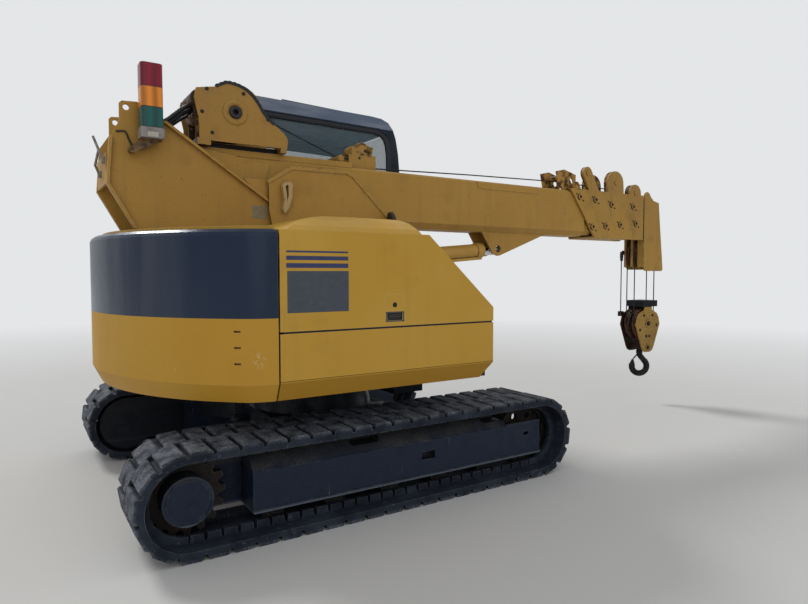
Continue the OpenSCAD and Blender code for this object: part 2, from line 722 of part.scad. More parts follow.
// Cab outline in the XZ plane, rear bottom first
cab_outline = [
    [cab_x0, cab_z0], [820, cab_z0], [900, cab_z0 + 120], [930, cab_z0 + 510], [905, cab_z1 - 422],
    [894, cab_z1 - 300], [872, cab_z1 - 180], [846, cab_z1 - 110], [800, cab_z1 - 55], [735, cab_z1 - 30],
    [637, cab_z1 - 22], [cab_x0 + 60, cab_z1], [cab_x0 + 20, cab_z1 - 15], [cab_x0, cab_z1 - 60]
];
right_window = [
    [-480, cab_z0 + 740], [815, cab_z0 + 740], [812, cab_z1 - 330], [796, cab_z1 - 220], [762, cab_z1 - 165],
    [700, cab_z1 - 138], [-440, cab_z1 - 118], [-480, cab_z1 - 150]
];
door_outline = [
    [-250, cab_z0 + 50], [790, cab_z0 + 50], [840, cab_z0 + 140], [868, cab_z0 + 520], [846, cab_z1 - 420],
    [800, cab_z1 - 180], [740, cab_z1 - 130], [-250, cab_z1 - 105]
];
door_window = [
    [-190, cab_z0 + 620], [815, cab_z0 + 620], [792, cab_z1 - 420], [752, cab_z1 - 210], [716, cab_z1 - 180],
    [-190, cab_z1 - 158]
];
post_side = 60;
door_hinge_out = 8;
door_hinges = [cab_z0 + 160, cab_z0 + 820, cab_z1 - 300];
module cab_shell() {
    w = cab_y1 - cab_y0;
    color(navy) {
        difference() {
            plate_xz(cab_y0, cab_y1) polygon(cab_outline);
            plate_xz(cab_y0 + cab_t, cab_y1 - cab_t) offset(delta = -cab_t) polygon(cab_outline);
            plate_xz(cab_y0 - 1, cab_y0 + cab_t + 1) polygon(right_window);
            plate_xz(cab_y1 - cab_t - 1, cab_y1 + 1) intersection() {
                offset(delta = 5) polygon(door_outline);
                translate([door_outline[0].x - run_gap, 0]) square([3000, 3000]);
            }
            // Rear quarter window beside the door, windscreen and rear window
            plate_xz(cab_y1 - cab_t - 1, cab_y1 + 1)
                translate([cab_x0 + 70, cab_z0 + 760]) square([190, cab_h - 940]);
            translate([700, cab_y0 + post_side, cab_z0 + 410]) cube([400, w - 2 * post_side, cab_h - 530]);
            translate([cab_x0 - 50, cab_y0 + post_side + 30, cab_z0 + 910])
                cube([200, w - 2 * post_side - 60, cab_h - 1090]);
        }
        // Rain lip over the right window and roof hatch
        plate_xz(cab_y0 - 8, cab_y0 + 1) polygon([
            [-500, cab_z1 - 98], [700, cab_z1 - 118], [790, cab_z1 - 160],
            [796, cab_z1 - 150], [704, cab_z1 - 104], [-500, cab_z1 - 84]
        ]);
        translate([-300, cab_y0 + 170, cab_z1 - 25]) rotate([0, 1.1, 0]) cube([560, w - 340, 32]);
        for (z = door_hinges) translate([door_outline[0].x, cab_y1 + door_hinge_out, z + 41])
            knuckle(40, door_hinge_out - 1, -1, 44);
    }
}
module cab_glass() {
    front = [
        [918, cab_z0 + 411], [921, cab_z0 + 510], [897, cab_z1 - 422], [886, cab_z1 - 300],
        [864, cab_z1 - 180], [846, cab_z1 - 130]
    ];
    n = len(front) - 1;
    color([0.6, 0.75, 0.8, 0.4]) {
        plate_xz(cab_y0 + 12, cab_y0 + 12 + glass_t) offset(delta = -run_gap) polygon(right_window);
        plate_xz(cab_y0 + post_side + run_gap, cab_y1 - post_side - run_gap) polygon(concat(
            front, [for (i = [n:-1:0]) front[i] - [glass_t, 0]]
        ));
        translate([cab_x0 + 12, cab_y0 + post_side + 30 + run_gap, cab_z0 + 910 + run_gap])
            cube([glass_t, cab_y1 - cab_y0 - 2 * (post_side + 30 + run_gap), cab_h - 1090 - 2 * run_gap]);
        plate_xz(cab_y1 - 12 - glass_t, cab_y1 - 12) translate([cab_x0 + 70 + run_gap, cab_z0 + 760 + run_gap])
            square([190 - 2 * run_gap, cab_h - 940 - 2 * run_gap]);
    }
}
module cab_door() {
    color(navy) {
        difference() {
            plate_xz(cab_y1 - cab_t, cab_y1) polygon(door_outline);
            plate_xz(cab_y1 - cab_t - 1, cab_y1 + 1) polygon(door_window);
        }
        // Outside handle near the front edge
        translate([690, cab_y1 - 1, cab_z0 + 480]) cube([110, 19, 26]);
        translate([620, cab_y1 - 1, cab_z0 + 470]) cube([40, 8, 46]);
        for (z = door_hinges) translate([door_outline[0].x, cab_y1 + door_hinge_out, z])
            knuckle(40, door_hinge_out - 1, 1, 44);
    }
}
module door_glass() {
    color([0.6, 0.75, 0.8, 0.4])
        plate_xz(cab_y1 - 20 - glass_t, cab_y1 - 20) offset(delta = -run_gap) polygon(door_window);
}

// Seat cushion and backrest
seat_y = (cab_y0 + cab_y1) / 2;
seat_z = cab_z0 + cab_t + 380;
module cab_seat() {
    color("black") {
        translate([-220, seat_y - 240, seat_z]) cube([500, 480, 120]);
        translate([-320, seat_y - 230, seat_z]) cube([110, 460, 700]);
    }
}

// Seat pedestal, two consoles with levers, and the front control column
module cab_controls() {
    floor_z = cab_z0 + cab_t + run_gap;
    console_h = 590;
    color("black") {
        translate([-200, seat_y - 150, floor_z]) cube([420, 300, seat_z - floor_z - run_gap]);
        for (s = [-1, 1]) {
            translate([-120, seat_y + s * 300 - 55, floor_z]) cube([430, 110, console_h]);
            for (x = [200, 260]) translate([x, seat_y + s * 300, floor_z + console_h - 1]) cylinder(h = 150, r = 9);
            for (x = [200, 260]) translate([x, seat_y + s * 300, floor_z + console_h + 145]) sphere(r = 20, $fn = 24);
        }
        translate([560, seat_y - 130, floor_z]) cube([120, 260, 640]);
    }
}

// Two low rails over the roof, each on three stanchions
rail_ends = [-75, 740];
function roof_z(x) = cab_z1 - 22 * (x - cab_x0 - 60) / (577 - cab_x0);
function rail_z(x) = cab_z1 + 18 - 30 * (x - rail_ends[0]) / (rail_ends[1] - rail_ends[0]);
module roof_rails() {
    color("gray") for (y = [cab_y0 + 78, cab_y1 - 90]) {
        round_bar([rail_ends[0], y, rail_z(rail_ends[0])], [rail_ends[1], y, rail_z(rail_ends[1])], 6);
        for (x = [-60, 280, 610]) translate([x, y, roof_z(x) + 2 * run_gap]) {
            cylinder(h = rail_z(x) - roof_z(x) - 2 * run_gap, r = 4);
            cylinder(h = 4, r = 14);
        }
    }
}

// One boom section's outline in the YZ plane, drawn in by inset
module boom_outline(inset) {
    w = boom_w / 2 - inset;
    h = boom_h / 2 - inset;
    c = 45 - inset * 0.4;
    edge = 14;
    translate([0, boom_mid]) polygon([
        [-w, h - edge], [-w + edge, h], [w - edge, h], [w, h - edge], [w, -h + c], [w - c, -h], [-w + c, -h], [-w, -h + c]
    ]);
}
function section_inset(i) = i * (boom_t + boom_play);

// Boom head plates, along X from the sheave pin and up from the boom's top:
// [rear top, rear bottom, front top, front bottom, lobe x, lobe z, lobe r,
// upper boss x, upper boss z, lower boss x, lower boss up from the boom's underside]
collars = [
    [-1211, -872, -997, -766, -1128, 40, 40, -1081, -52, -905, 89],
    [-996, -765, -755, -537, -985, 168, 58, -870, -67, -724, 105],
    [-754, -536, -409, -321, -590, 108, 112, -643, -97, -513, 124],
    [-408, -320, -166, -166, -292, 34, 82, -323, -100, -279, 144],
];
collar_z0 = boom_z0 - 14;
collar_z1 = boom_z1 + 17;
function collar_face(c) = [
    [tip_x + c[0], collar_z1], [tip_x + c[1], collar_z0], [tip_x + c[3], collar_z0], [tip_x + c[2], collar_z1]
];
module collar(i) {
    c = collars[i];
    lean = (c[1] - c[0]) * 0.6;
    inner = boom_w / 2 - section_inset(i) - 1;
    lobe_at = [tip_x + c[4], boom_z1 + c[5]];
    both_plates(inner, head_w / 2) union() {
        polygon(collar_face(c));
        intersection() {
            hull() {
                translate(lobe_at) circle(r = c[6], $fn = 32);
                translate([tip_x + (c[0] + c[2]) / 2, collar_z1 - 30]) circle(r = c[6], $fn = 32);
            }
            polygon([
                [tip_x + c[0] - lean, collar_z1 + 263], [tip_x + c[1], collar_z0], [tip_x + c[3], collar_z0],
                [tip_x + c[2] - (c[3] - c[2]) * 0.6, collar_z1 + 263]
            ]);
        }
    }
    // Round bosses on the lobe and over the wear pads
    both_plates(head_w / 2 - 1, head_w / 2 + 7) {
        translate(lobe_at) circle(r = 22);
        translate([tip_x + c[7], boom_z1 + c[8]]) circle(r = 26);
        translate([tip_x + c[9], boom_z0 + c[10]]) circle(r = 26);
    }
    // Top and bottom straps between the cheeks
    for (z = [[collar_z0, boom_z0 + section_inset(i) + 1], [boom_z1 - section_inset(i) - 1, collar_z1]])
        plate_xz(-head_w / 2 + 1, head_w / 2 - 1) intersection() {
            polygon(collar_face(c));
            translate([0, z[0]]) square([tip_x, z[1] - z[0]]);
        }
}

// Wear pads at a section's rear end that ride in the section around it
module wear_pads(i, x) {
    w = boom_w / 2 - section_inset(i);
    pad = boom_play + 1 - run_gap;
    for (s = [-1, 1]) {
        translate([x, s * (w - 50) - 30, boom_z1 - section_inset(i) - 1]) cube([120, 60, pad]);
        translate([x, s * (w - 80) - 20, boom_z0 + section_inset(i) - boom_play + run_gap]) cube([120, 40, pad]);
    }
}

// Base section: box with a raised top behind, foot plates, cylinder bracket and head collar
base_x0 = foot_x + 170;
raised_x1 = drum_x + 851;
raised_top = boom_z1 + 36;
module boom_base() {
    bar = 13;
    foot_y = boom_w / 2 - 1;
    color(yellow) {
        difference() {
            union() {
                difference() {
                    bar_yz(base_x0, tip_x - 1005) boom_outline(0);
                    bar_yz(base_x0 + 30, tip_x) boom_outline(boom_t);
                }
                // Raised top plate under the winch, doublers on the upper edge ahead
                translate([base_x0, -boom_w / 2 + 8, boom_z1 - 2]) cube([raised_x1 - base_x0, boom_w - 16, 38]);
                both_plates(boom_w / 2 - 1, boom_w / 2 + 5) polygon([
                    [1385, boom_z1 - 12], [1400, boom_z1 - 52], [1450, boom_z1 - 62], [2070, boom_z1 - 62],
                    [2080, boom_z1 - 12]
                ]);
                // Foot plates up to the pin
                both_plates(foot_y, foot_y + bar) union() {
                    polygon([
                        [foot_x - 60, foot_z - 20], [foot_x + 30, foot_z - 62], [base_x0, boom_z0 + 60],
                        [foot_x + 640, boom_z0 + 60], [foot_x + 740, boom_z1 - 40],
                        [foot_x + 250, raised_top - 4], [foot_x - 20, foot_z + 60]
                    ]);
                    translate([foot_x, foot_z]) circle(r = foot_pin_r + 30);
                }
                pin_y(foot_x, foot_z, foot_pin_r + 20, -post_y0 + 1, post_y0 - 1);
                collar(0);
                // Rope bracket behind the second lobe
                both_plates(90, 102) difference() {
                    polygon([
                        [tip_x - 1330, boom_z1 + 165], [tip_x - 1230, boom_z1 + 188], [tip_x - 1080, boom_z1 + 150],
                        [tip_x - 1080, boom_z1 - 1], [tip_x - 1240, boom_z1 - 1], [tip_x - 1300, boom_z1 + 40]
                    ]);
                    translate([tip_x - 1140, boom_z1 + 88]) circle(r = 26);
                }
                pin_y(tip_x - 1240, boom_z1 + 120, 24, -91, 91);
                // Cylinder bracket plates under the boom
                both_plates(78, 92) union() {
                    polygon([
                        [boom_pin_x - 178, boom_z0 + 2], [boom_pin_x - 55, boom_pin_z - 44], [boom_pin_x + 25, boom_pin_z - 53],
                        [boom_pin_x + 548, boom_z0 + 2]
                    ]);
                    translate([boom_pin_x, boom_pin_z]) circle(r = 58);
                }
            }
            bar_yz(tip_x - 1265, tip_x) boom_outline(boom_t);
            pin_y(boom_pin_x, boom_pin_z, 30, -200, 200);
        }
        pin_y(foot_x, foot_z, foot_pin_r - run_gap, -post_y1 - 12, post_y1 + 12);
    }
}

// Inner sections 2 to 4: hollow box with its collar
rope_way = 26;
rope_way_y = sheave_step / 2 + reeve_shift + 46;
module section(i, x0) {
    c = collars[i];
    color(yellow) {
        difference() {
            union() {
                bar_yz(x0, tip_x + c[2] - 4) boom_outline(section_inset(i));
                collar(i);
            }
            bar_yz(x0 - 1, tip_x + 400) boom_outline(section_inset(i) + boom_t);
            // Way for the rope falls under the foremost head plates when the boom stands steep
            if (i == 3) translate([tip_x + c[1] - 20, -rope_way_y, collar_z0 - 1])
                cube([c[3] - c[1] + 30, 2 * rope_way_y, rope_way + 1]);
        }
        wear_pads(i, x0);
    }
}
module section_2() { section(1, base_x0 + 180); }
module section_3() { section(2, base_x0 + 330); }
module section_4() { section(3, base_x0 + 480); }

// Top section with the boom head: cheeks, dividers with rear bars and the sheave pin
module section_5() {
    i = 4;
    x0 = base_x0 + 630;
    half = head_w / 2;
    up = boom_z1 - tip_z;
    cheek = [
        [-150, up - 45], [-144, up + 30], [-128, up + 52], [-100, up + 58], [-72, up + 44], [-50, up + 12],
        [-5, up - 25], [80, up - 42], [98, up - 200], [162, -170], [150, -186], [130, -189],
        [-110, -189], [-128, -182], [-140, -165], [-150, 200]
    ];
    divider = [[-135, 205], [75, 205], [145, -155], [115, -175], [-105, -175], [-135, -155]];
    near_y = -reeve_shift - sheave_step / 2 - 28;
    far_y = -reeve_shift + sheave_step / 2 + 24;
    color(yellow) {
        difference() {
            union() {
                bar_yz(x0, tip_x + 55) boom_outline(section_inset(i));
                both_plates(boom_w / 2 - section_inset(i) - 10, half) translate([tip_x, tip_z])
                    polygon([[-150, up - 45], [55, up - 45], [75, 190], [-150, 190]]);
                plate_xz(-half, 14 - half) translate([tip_x, tip_z]) polygon(cheek);
                plate_xz(half - 14, half) translate([tip_x, tip_z]) intersection() {
                    polygon(cheek);
                    translate([-200, 190]) square([400, up]);
                }
                // Dividers beside and between the sheaves, the bars behind them and the top plate
                for (y = [near_y - 6, -reeve_shift - 6, far_y]) plate_xz(y, y + 12)
                    translate([tip_x, tip_z]) polygon(divider);
                for (b = [[1 - half, near_y + 6], [-reeve_shift - 14, 14 - reeve_shift], [far_y, far_y + 24]])
                    translate([tip_x - 150, b[0], tip_z - 150]) cube([20, b[1] - b[0], 350]);
                translate([tip_x - 150, -half + 1, tip_z + 185]) cube([180, 2 * half - 2, 22]);
            }
            bar_yz(x0 - 1, tip_x + 400) boom_outline(section_inset(i) + boom_t);
        }
        pin_y(tip_x, tip_z, 22, -half + 1, far_y + 11);
        wear_pads(i, x0);
    }
}

// A grooved sheave on a pin along Y
module sheave(x, z, y, r, bore) {
    translate([x, y, z]) rotate([90, 0, 0]) rotate_extrude($fn = 64) polygon([
        [bore, -22], [bore + 26, -22], [bore + 30, -8], [r - 30, -8], [r - 10, -18], [r, -18],
        [r - 12, -4], [r - 12, 4], [r, 18], [r - 10, 18], [r - 30, 8], [bore + 30, 8], [bore + 26, 22], [bore, 22]
    ]);
}
module tip_sheaves() {
    color("saddlebrown") for (k = [-0.5, 0.5])
        sheave(tip_x, tip_z, k * sheave_step - reeve_shift, sheave_r, 22 + run_gap);
}

// Winch frame: side plates on the boom, cross tubes, cover band over the drum
winch_y = post_y0 - 5;
winch_foot = raised_top + 28;
winch_outline = [
    [-238, 117], [-251, 61], [-224, -60], [-220, winch_foot - drum_z], [338, winch_foot - drum_z], [345, -138],
    [336, -112], [311, -87], [255, -46], [200, -3], [172, 34], [147, 76], [112, 118], [66, 152], [10, 172],
    [-52, 177], [-123, 140]
];
hub_r = 40;
module winch_frame() {
    band_r = flange_r + 6;
    color(yellow) {
        difference() {
            both_plates(winch_y - 12, winch_y) translate([drum_x, drum_z]) polygon(winch_outline);
            pin_y(drum_x, drum_z, hub_r, -300, 300);
        }
        difference() {
            pin_y(drum_x, drum_z, band_r + 8, -winch_y + 1, winch_y - 1);
            pin_y(drum_x, drum_z, band_r, -winch_y, winch_y);
            translate([drum_x - 2 * band_r, -winch_y - 1, drum_z - 2 * band_r])
                cube([4 * band_r, 2 * winch_y + 2, 2 * band_r + 14]);
            translate([drum_x - 2 * band_r, -winch_y - 1, drum_z - 50]) cube([2 * band_r - 130, 2 * winch_y + 2, 440]);
        }
        // Feet: rails on the raised top and tie bars between the plates
        for (s = [-1, 1]) translate([drum_x - 204, s * (boom_w / 2 - 42) - 34, raised_top + run_gap])
            cube([540, 68, winch_foot - raised_top + 2]);
        for (x = [-194, 296]) translate([drum_x + x, -winch_y + 1, raised_top + run_gap]) cube([40, 2 * winch_y - 2, 43]);
        // Motor and its bracket behind the drum
        pin_y(drum_x - 216, drum_z + 62, 52, -winch_y + 20, 40);
        pin_y(drum_x - 212, drum_z - 40, 38, -winch_y + 60, 20);
        for (y = [-winch_y + 30, 0]) plate_xz(y, y + 12) polygon([
            [drum_x - 250, drum_z + 100], [drum_x - 170, drum_z + 110], [drum_x - 205, winch_foot], [drum_x - 232, winch_foot - 6]
        ]);
        translate([drum_x - 232, -winch_y + 1, raised_top + run_gap]) cube([60, 2 * winch_y - 2, 40]);
    }
}

// Drum with end flanges and wound rope, on a stub axle in each side plate
module winch_drum() {
    w = winch_y - 18;
    color("saddlebrown") {
        pin_y(drum_x, drum_z, drum_r, -w, w);
        for (y = [-w, w - 10]) pin_y(drum_x, drum_z, flange_r, y, y + 10);
        pin_y(drum_x, drum_z, drum_r + 45, -w + 14, w - 14);
        difference() {
            pin_y(drum_x, drum_z, hub_r - run_gap, -winch_y - 4, winch_y + 4);
            pin_y(drum_x, drum_z, 18, -winch_y - 5, winch_y + 5);
        }
    }
}

// Rope guide on top of the base section
guide_x = raised_x1 + 10;
module rope_guide() {
    color(yellow) {
        both_plates(58, 70) union() {
            translate([guide_x, boom_z1 + run_gap]) square([220, 110]);
            translate([guide_x + 106, boom_z1 + 112]) circle(r = 86);
            translate([guide_x + 20, boom_z1 + 60]) square([172, 60]);
        }
        pin_y(guide_x + 110, boom_z1 + 130, 45, -59, 59);
        pin_y(guide_x + 170, boom_z1 + 150, 22, -84, 84);
        translate([guide_x, -70, boom_z1 + run_gap]) cube([30, 140, 20]);
        // Small roller behind, on the raised top
        pin_y(guide_x - 79, raised_top + 30, 22, -100, 100);
        both_plates(80, 92) translate([guide_x - 105, raised_top + run_gap]) square([52, 40]);
    }
}

// Hook block: side plates, black head bar, sheave pin, swivel crosshead and the rope's dead-end lug
block_outline = [
    [-140, 105], [-60, 140], [-60, 175], [60, 175], [60, 140], [140, 105], [172, 62], [192, -10],
    [95, -245], [74, -276], [40, -292], [-40, -292], [-74, -276], [-95, -245], [-192, -10], [-172, 62]
];
head_bar = 275;
block_half = sheave_step / 2 + 53;
dead_end_y = block_half + 20;
dead_end_z = 120;
module hook_block() {
    translate([0, -reeve_shift, 0]) {
        color(yellow) {
            for (y = [-block_half, block_half - 10])
                plate_xz(y, y + 10) translate([tip_x, block_z]) polygon(block_outline);
            plate_xz(-5, 5) translate([tip_x, block_z]) difference() {
                polygon(block_outline);
                translate([-200, -400]) square([400, 250]);
            }
            pin_y(tip_x, block_z, 22, -block_half - 7, block_half + 7);
            both_plates(block_half - 1, block_half + 5) translate([tip_x, block_z]) {
                circle(r = 44);
                translate([0, -245]) circle(r = 34);
            }
            translate([tip_x - 40, 9 - block_half, block_z - head_bar]) cube([80, 2 * block_half - 18, 60]);
            translate([tip_x, 0, block_z - head_bar + 58]) cylinder(h = 34, r = 46);
        }
        color(dark) {
            translate([tip_x - 90, -block_half - 5, block_z + 173]) cube([230, 2 * block_half + 10, 62]);
            translate([tip_x - fall_x - 25, block_half - 1, block_z + dead_end_z - 50])
                cube([50, dead_end_y - block_half + 16, 50]);
        }
    }
}

// Rope falls between the head sheaves and the block sheaves, and the fall to the dead-end lug
rope_r = 5;
fall_x = sheave_r - 12 + rope_r + run_gap;
module rope_falls() {
    color("dimgray") translate([0, -reeve_shift, 0]) {
        for (k = [-0.5, 0.5], s = [-1, 1]) translate([tip_x + s * fall_x, k * sheave_step, block_z])
            cylinder(h = block_drop, r = rope_r, $fn = 16);
        translate([tip_x - fall_x, dead_end_y, block_z + dead_end_z + run_gap])
            cylinder(h = block_drop - dead_end_z - run_gap, r = rope_r, $fn = 16);
    }
}
module block_sheaves() {
    color("saddlebrown") for (k = [-0.5, 0.5])
        sheave(tip_x, block_z, k * sheave_step - reeve_shift, sheave_r, 22 + run_gap);
}

// Hook: shank, round bowl with a tapered tip, and the latch across its mouth
hook_z = block_z - head_bar - 173;
bowl_r = 76;
bowl_wire = 30;
module hook() {
    tip_a = 165;
    neck_a = 50;
    tip_p = [bowl_r * cos(tip_a), 0, hook_z + bowl_r * sin(tip_a)];
    neck_p = [bowl_r * cos(neck_a), 0, hook_z + bowl_r * sin(neck_a)];
    top_p = [0, 0, hook_z + 118];
    color(dark) translate([tip_x, -reeve_shift, 0]) rotate([0, 0, hook_turn]) {
        translate(top_p - [0, 0, 6]) cylinder(h = block_z - head_bar - run_gap - top_p.z + 6, r = 22);
        translate([0, 0, top_p.z + 14]) cylinder(h = 34, r = 32);
        translate([0, 0, hook_z]) rotate([90, 0, 0])
            rotate_extrude(angle = 360 + neck_a - tip_a, start = tip_a) translate([bowl_r, 0]) circle(r = bowl_wire);
        round_bar(neck_p - [-6, 0, 8], top_p, bowl_wire - 2);
        translate(tip_p - [0, 0, 4]) rotate([0, 6, 0]) cylinder(h = 52, r1 = bowl_wire - 1, r2 = 10);
        plate_xz(-7, 7) polygon([
            [tip_p.x - 6, tip_p.z + 40], [tip_p.x + 8, tip_p.z + 44], [top_p.x - 8, top_p.z + 12], [top_p.x - 22, top_p.z + 12]
        ]);
    }
}

// Luffing cylinder: barrel on its base pin, rod to the bracket under the boom
cyl_dir = [boom_pin_x - base_pin_x, 0, boom_pin_z - base_pin_z];
cyl_len = norm(cyl_dir);
cyl_angle = atan2(cyl_dir.z, cyl_dir.x);
barrel_end = cyl_len - 110;
module along_cylinder() {
    translate([base_pin_x, 0, base_pin_z]) rotate([0, -cyl_angle, 0]) children();
}
module luff_barrel() {
    color(yellow) {
        along_cylinder() {
            difference() {
                union() {
                    rotate([0, 90, 0]) translate([0, 0, 60]) cylinder(h = barrel_end - 60, r = barrel_r);
                    rotate([0, 90, 0]) translate([0, 0, barrel_end - 70]) cylinder(h = 66, r = barrel_r + 8);
                    pin_y(0, 0, 62, -60, 60);
                }
                rotate([0, 90, 0]) translate([0, 0, 200]) cylinder(h = barrel_end, r = rod_r + run_gap);
            }
            pin_y(0, 0, 30 - run_gap, -post_y1 - 6, post_y1 + 6);
            // Pipe channel under the barrel
            translate([barrel_end - 460, -30, -barrel_r - 22]) cube([440, 60, 24]);
        }
    }
}
module luff_rod() {
    color("silver") along_cylinder() difference() {
        union() {
            rotate([0, 90, 0]) translate([0, 0, 260]) cylinder(h = cyl_len - 260 - 40, r = rod_r);
            pin_y(cyl_len, 0, 50, -60, 60);
        }
        pin_y(cyl_len, 0, 30, -61, 61);
    }
}

car_body();
slew_inner_ring();
track_frame_right();
track_frame_left();
track_right();
track_left();
sprocket_right();
sprocket_left();
final_drive_right();
final_drive_left();
idler_right();
idler_left();
rollers_right();
rollers_left();
revolving_frame();
slew_outer_ring();
counterweight();
rear_deck();
hood_right();
lower_panel_right();
cover_left();
engine_block();
boom_post();
guard_plate();
signal_lamp();
side_mirror();
grab_rail();
cab_shell();
cab_glass();
cab_door();
door_glass();
cab_seat();
cab_controls();
roof_rails();
boom_base();
winch_frame();
winch_drum();
rope_guide();
section_2();
section_3();
section_4();
section_5();
tip_sheaves();
hook_block();
rope_falls();
block_sheaves();
hook();
luff_barrel();
luff_rod();
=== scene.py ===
import math
import bpy
import numpy as np
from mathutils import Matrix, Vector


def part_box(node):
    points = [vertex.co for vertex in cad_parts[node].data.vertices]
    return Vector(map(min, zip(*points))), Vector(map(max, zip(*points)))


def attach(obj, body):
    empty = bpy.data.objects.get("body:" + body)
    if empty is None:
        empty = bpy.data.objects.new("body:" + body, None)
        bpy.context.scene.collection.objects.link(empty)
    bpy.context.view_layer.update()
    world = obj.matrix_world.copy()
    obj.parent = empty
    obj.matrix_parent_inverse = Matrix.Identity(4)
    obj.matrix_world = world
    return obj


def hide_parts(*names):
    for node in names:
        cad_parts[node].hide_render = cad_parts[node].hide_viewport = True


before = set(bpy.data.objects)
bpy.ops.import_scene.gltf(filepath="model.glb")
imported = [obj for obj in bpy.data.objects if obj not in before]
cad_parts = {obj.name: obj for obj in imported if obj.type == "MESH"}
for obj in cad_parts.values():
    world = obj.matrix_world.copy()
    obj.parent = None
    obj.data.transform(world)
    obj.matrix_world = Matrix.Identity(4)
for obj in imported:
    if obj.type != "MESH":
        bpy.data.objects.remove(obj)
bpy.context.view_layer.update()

# Camera: a phone held at chest height, 1.34 m over the ground, off the machine's right rear. Its
# place, heading and lens are solved from the tracks and covers in the picture.
FOCAL_PIXELS, PICTURE_WIDTH, SENSOR_WIDTH = 609.358, 808.0, 36.0
TILT, ROLL, HEADING = -2.754, 0.042, 57.330  # degrees, the heading from +X towards +Y
lens = bpy.data.cameras.new("lens")
lens.sensor_fit = "HORIZONTAL"
lens.sensor_width = SENSOR_WIDTH
lens.lens = FOCAL_PIXELS * SENSOR_WIDTH / PICTURE_WIDTH
lens.clip_start = 0.05
lens.clip_end = 300.0
camera = bpy.data.objects.new("camera", lens)
camera.location = (-1.7889, -4.0009, 1.3413)
camera.rotation_euler = (math.radians(90 + TILT), math.radians(ROLL), math.radians(HEADING - 90))
bpy.context.scene.collection.objects.link(camera)
bpy.context.scene.camera = camera
bpy.context.scene.view_settings.view_transform = "Standard"


# Studio: a pale matt floor that fades into a pale surround, one broad soft lamp high behind the
# left of the machine as the sun stands in the picture, a weak one from the right, and even sky.
def linear(code):
    """The linear colour of an sRGB hex code: the low part over 12.92, the rest by the 2.4 power."""
    c = np.array([int(code[i:i + 2], 16) for i in (1, 3, 5)]) / 255
    return (*np.where(c <= 0.04045, c / 12.92, ((c + 0.055) / 1.055) ** 2.4).tolist(), 1.0)


def add(tree, kind, props=None, inputs=None):
    """Adds one node, sets its properties, and sets each named input or links a socket to it."""
    made = tree.nodes.new("ShaderNode" + kind)
    for key, value in (props or {}).items():
        setattr(made, key, value)
    for key, value in (inputs or {}).items():
        if isinstance(value, bpy.types.NodeSocket):
            tree.links.new(value, made.inputs[key])
        else:
            made.inputs[key].default_value = value
    return made


def calc(tree, operation, a, b):
    """One step of arithmetic on two values."""
    return add(tree, "Math", {"operation": operation}, {0: a, 1: b}).outputs[0]


def spread(tree, value, low, high):
    """Values from low to high stretched to run from 0 to 1, and held there outside."""
    return add(tree, "MapRange", None, {"Value": value, "From Min": low, "From Max": high}).outputs[0]


def object_place(tree):
    """The place on the machine, in metres."""
    return add(tree, "TexCoord").outputs["Object"]


def blank_material(name):
    """A material with an empty tree and its output node."""
    made = bpy.data.materials.new(name)
    made.use_nodes = True
    made.node_tree.nodes.clear()
    return made, made.node_tree, made.node_tree.nodes.new("ShaderNodeOutputMaterial")


def wrap(rows, cols, close_rows=False, close_cols=True):
    """Quads between the points of a grid, whose rows or columns may close into rings."""
    i, j = np.meshgrid(np.arange(rows if close_rows else rows - 1),
                       np.arange(cols if close_cols else cols - 1), indexing="ij")
    k, m = (i + 1) % rows, (j + 1) % cols
    quads = np.stack([i * cols + j, i * cols + m, k * cols + m, k * cols + j], -1)
    return quads.reshape(-1, 4).tolist()


def flipped(faces):
    """The same faces turned inside out."""
    return [face[::-1] for face in faces]


def disc(radius, rings, sides):
    """A flat disc: points at radius times (ring / rings) squared, at even angles."""
    r = radius * (np.arange(1, rings + 1) / rings) ** 2
    a = np.arange(sides) * 2 * np.pi / sides
    points = np.stack([np.outer(r, np.cos(a)), np.outer(r, np.sin(a)), np.zeros((rings, sides))], -1)
    return points.reshape(-1, 3), flipped(wrap(rings, sides)) + [list(range(sides))]


SURROUND = "#E4E6E8"
FLOOR_RADIUS, FADE_START, FADE_END = 60.0, 5.0, 14.0
points, quads = disc(FLOOR_RADIUS, 12, 64)
floor_mesh = bpy.data.meshes.new("floor")
floor_mesh.from_pydata(points.tolist(), [], quads)
floor = bpy.data.objects.new("floor", floor_mesh)
bpy.context.scene.collection.objects.link(floor)
pale_floor, tree, out = blank_material("pale_floor")
away = add(tree, "VectorMath", {"operation": "LENGTH"}, {0: object_place(tree)}).outputs["Value"]
path = add(tree, "LightPath")
seen = calc(tree, "MAXIMUM", path.outputs["Is Camera Ray"], path.outputs["Is Glossy Ray"])
seen = calc(tree, "MAXIMUM", seen, path.outputs["Is Transmission Ray"])
fade = calc(tree, "MULTIPLY", seen, spread(tree, away, FADE_START, FADE_END))
matt = add(tree, "BsdfPrincipled", None,
           {"Base Color": linear("#C9C7C3"), "Roughness": 0.9, "Specular IOR Level": 0.2})
glow = add(tree, "Emission", None, {"Color": linear(SURROUND), "Strength": 1.0})
both = add(tree, "MixShader", None, {0: fade, 1: matt.outputs[0], 2: glow.outputs[0]})
tree.links.new(both.outputs[0], out.inputs["Surface"])
floor_mesh.materials.append(pale_floor)

world = bpy.data.worlds.new("studio")
bpy.context.scene.world = world
world.use_nodes = True
tree = world.node_tree
tree.nodes.clear()
path = add(tree, "LightPath")
seen = calc(tree, "MAXIMUM", path.outputs["Is Camera Ray"], path.outputs["Is Transmission Ray"])
sky = add(tree, "Background", None, {"Color": linear("#E9EDF2"), "Strength": 0.72})
surround = add(tree, "Background", None, {"Color": linear(SURROUND), "Strength": 1.0})
both = add(tree, "MixShader", None, {0: seen, 1: sky.outputs[0], 2: surround.outputs[0]})
tree.links.new(both.outputs[0], add(tree, "OutputWorld").inputs["Surface"])

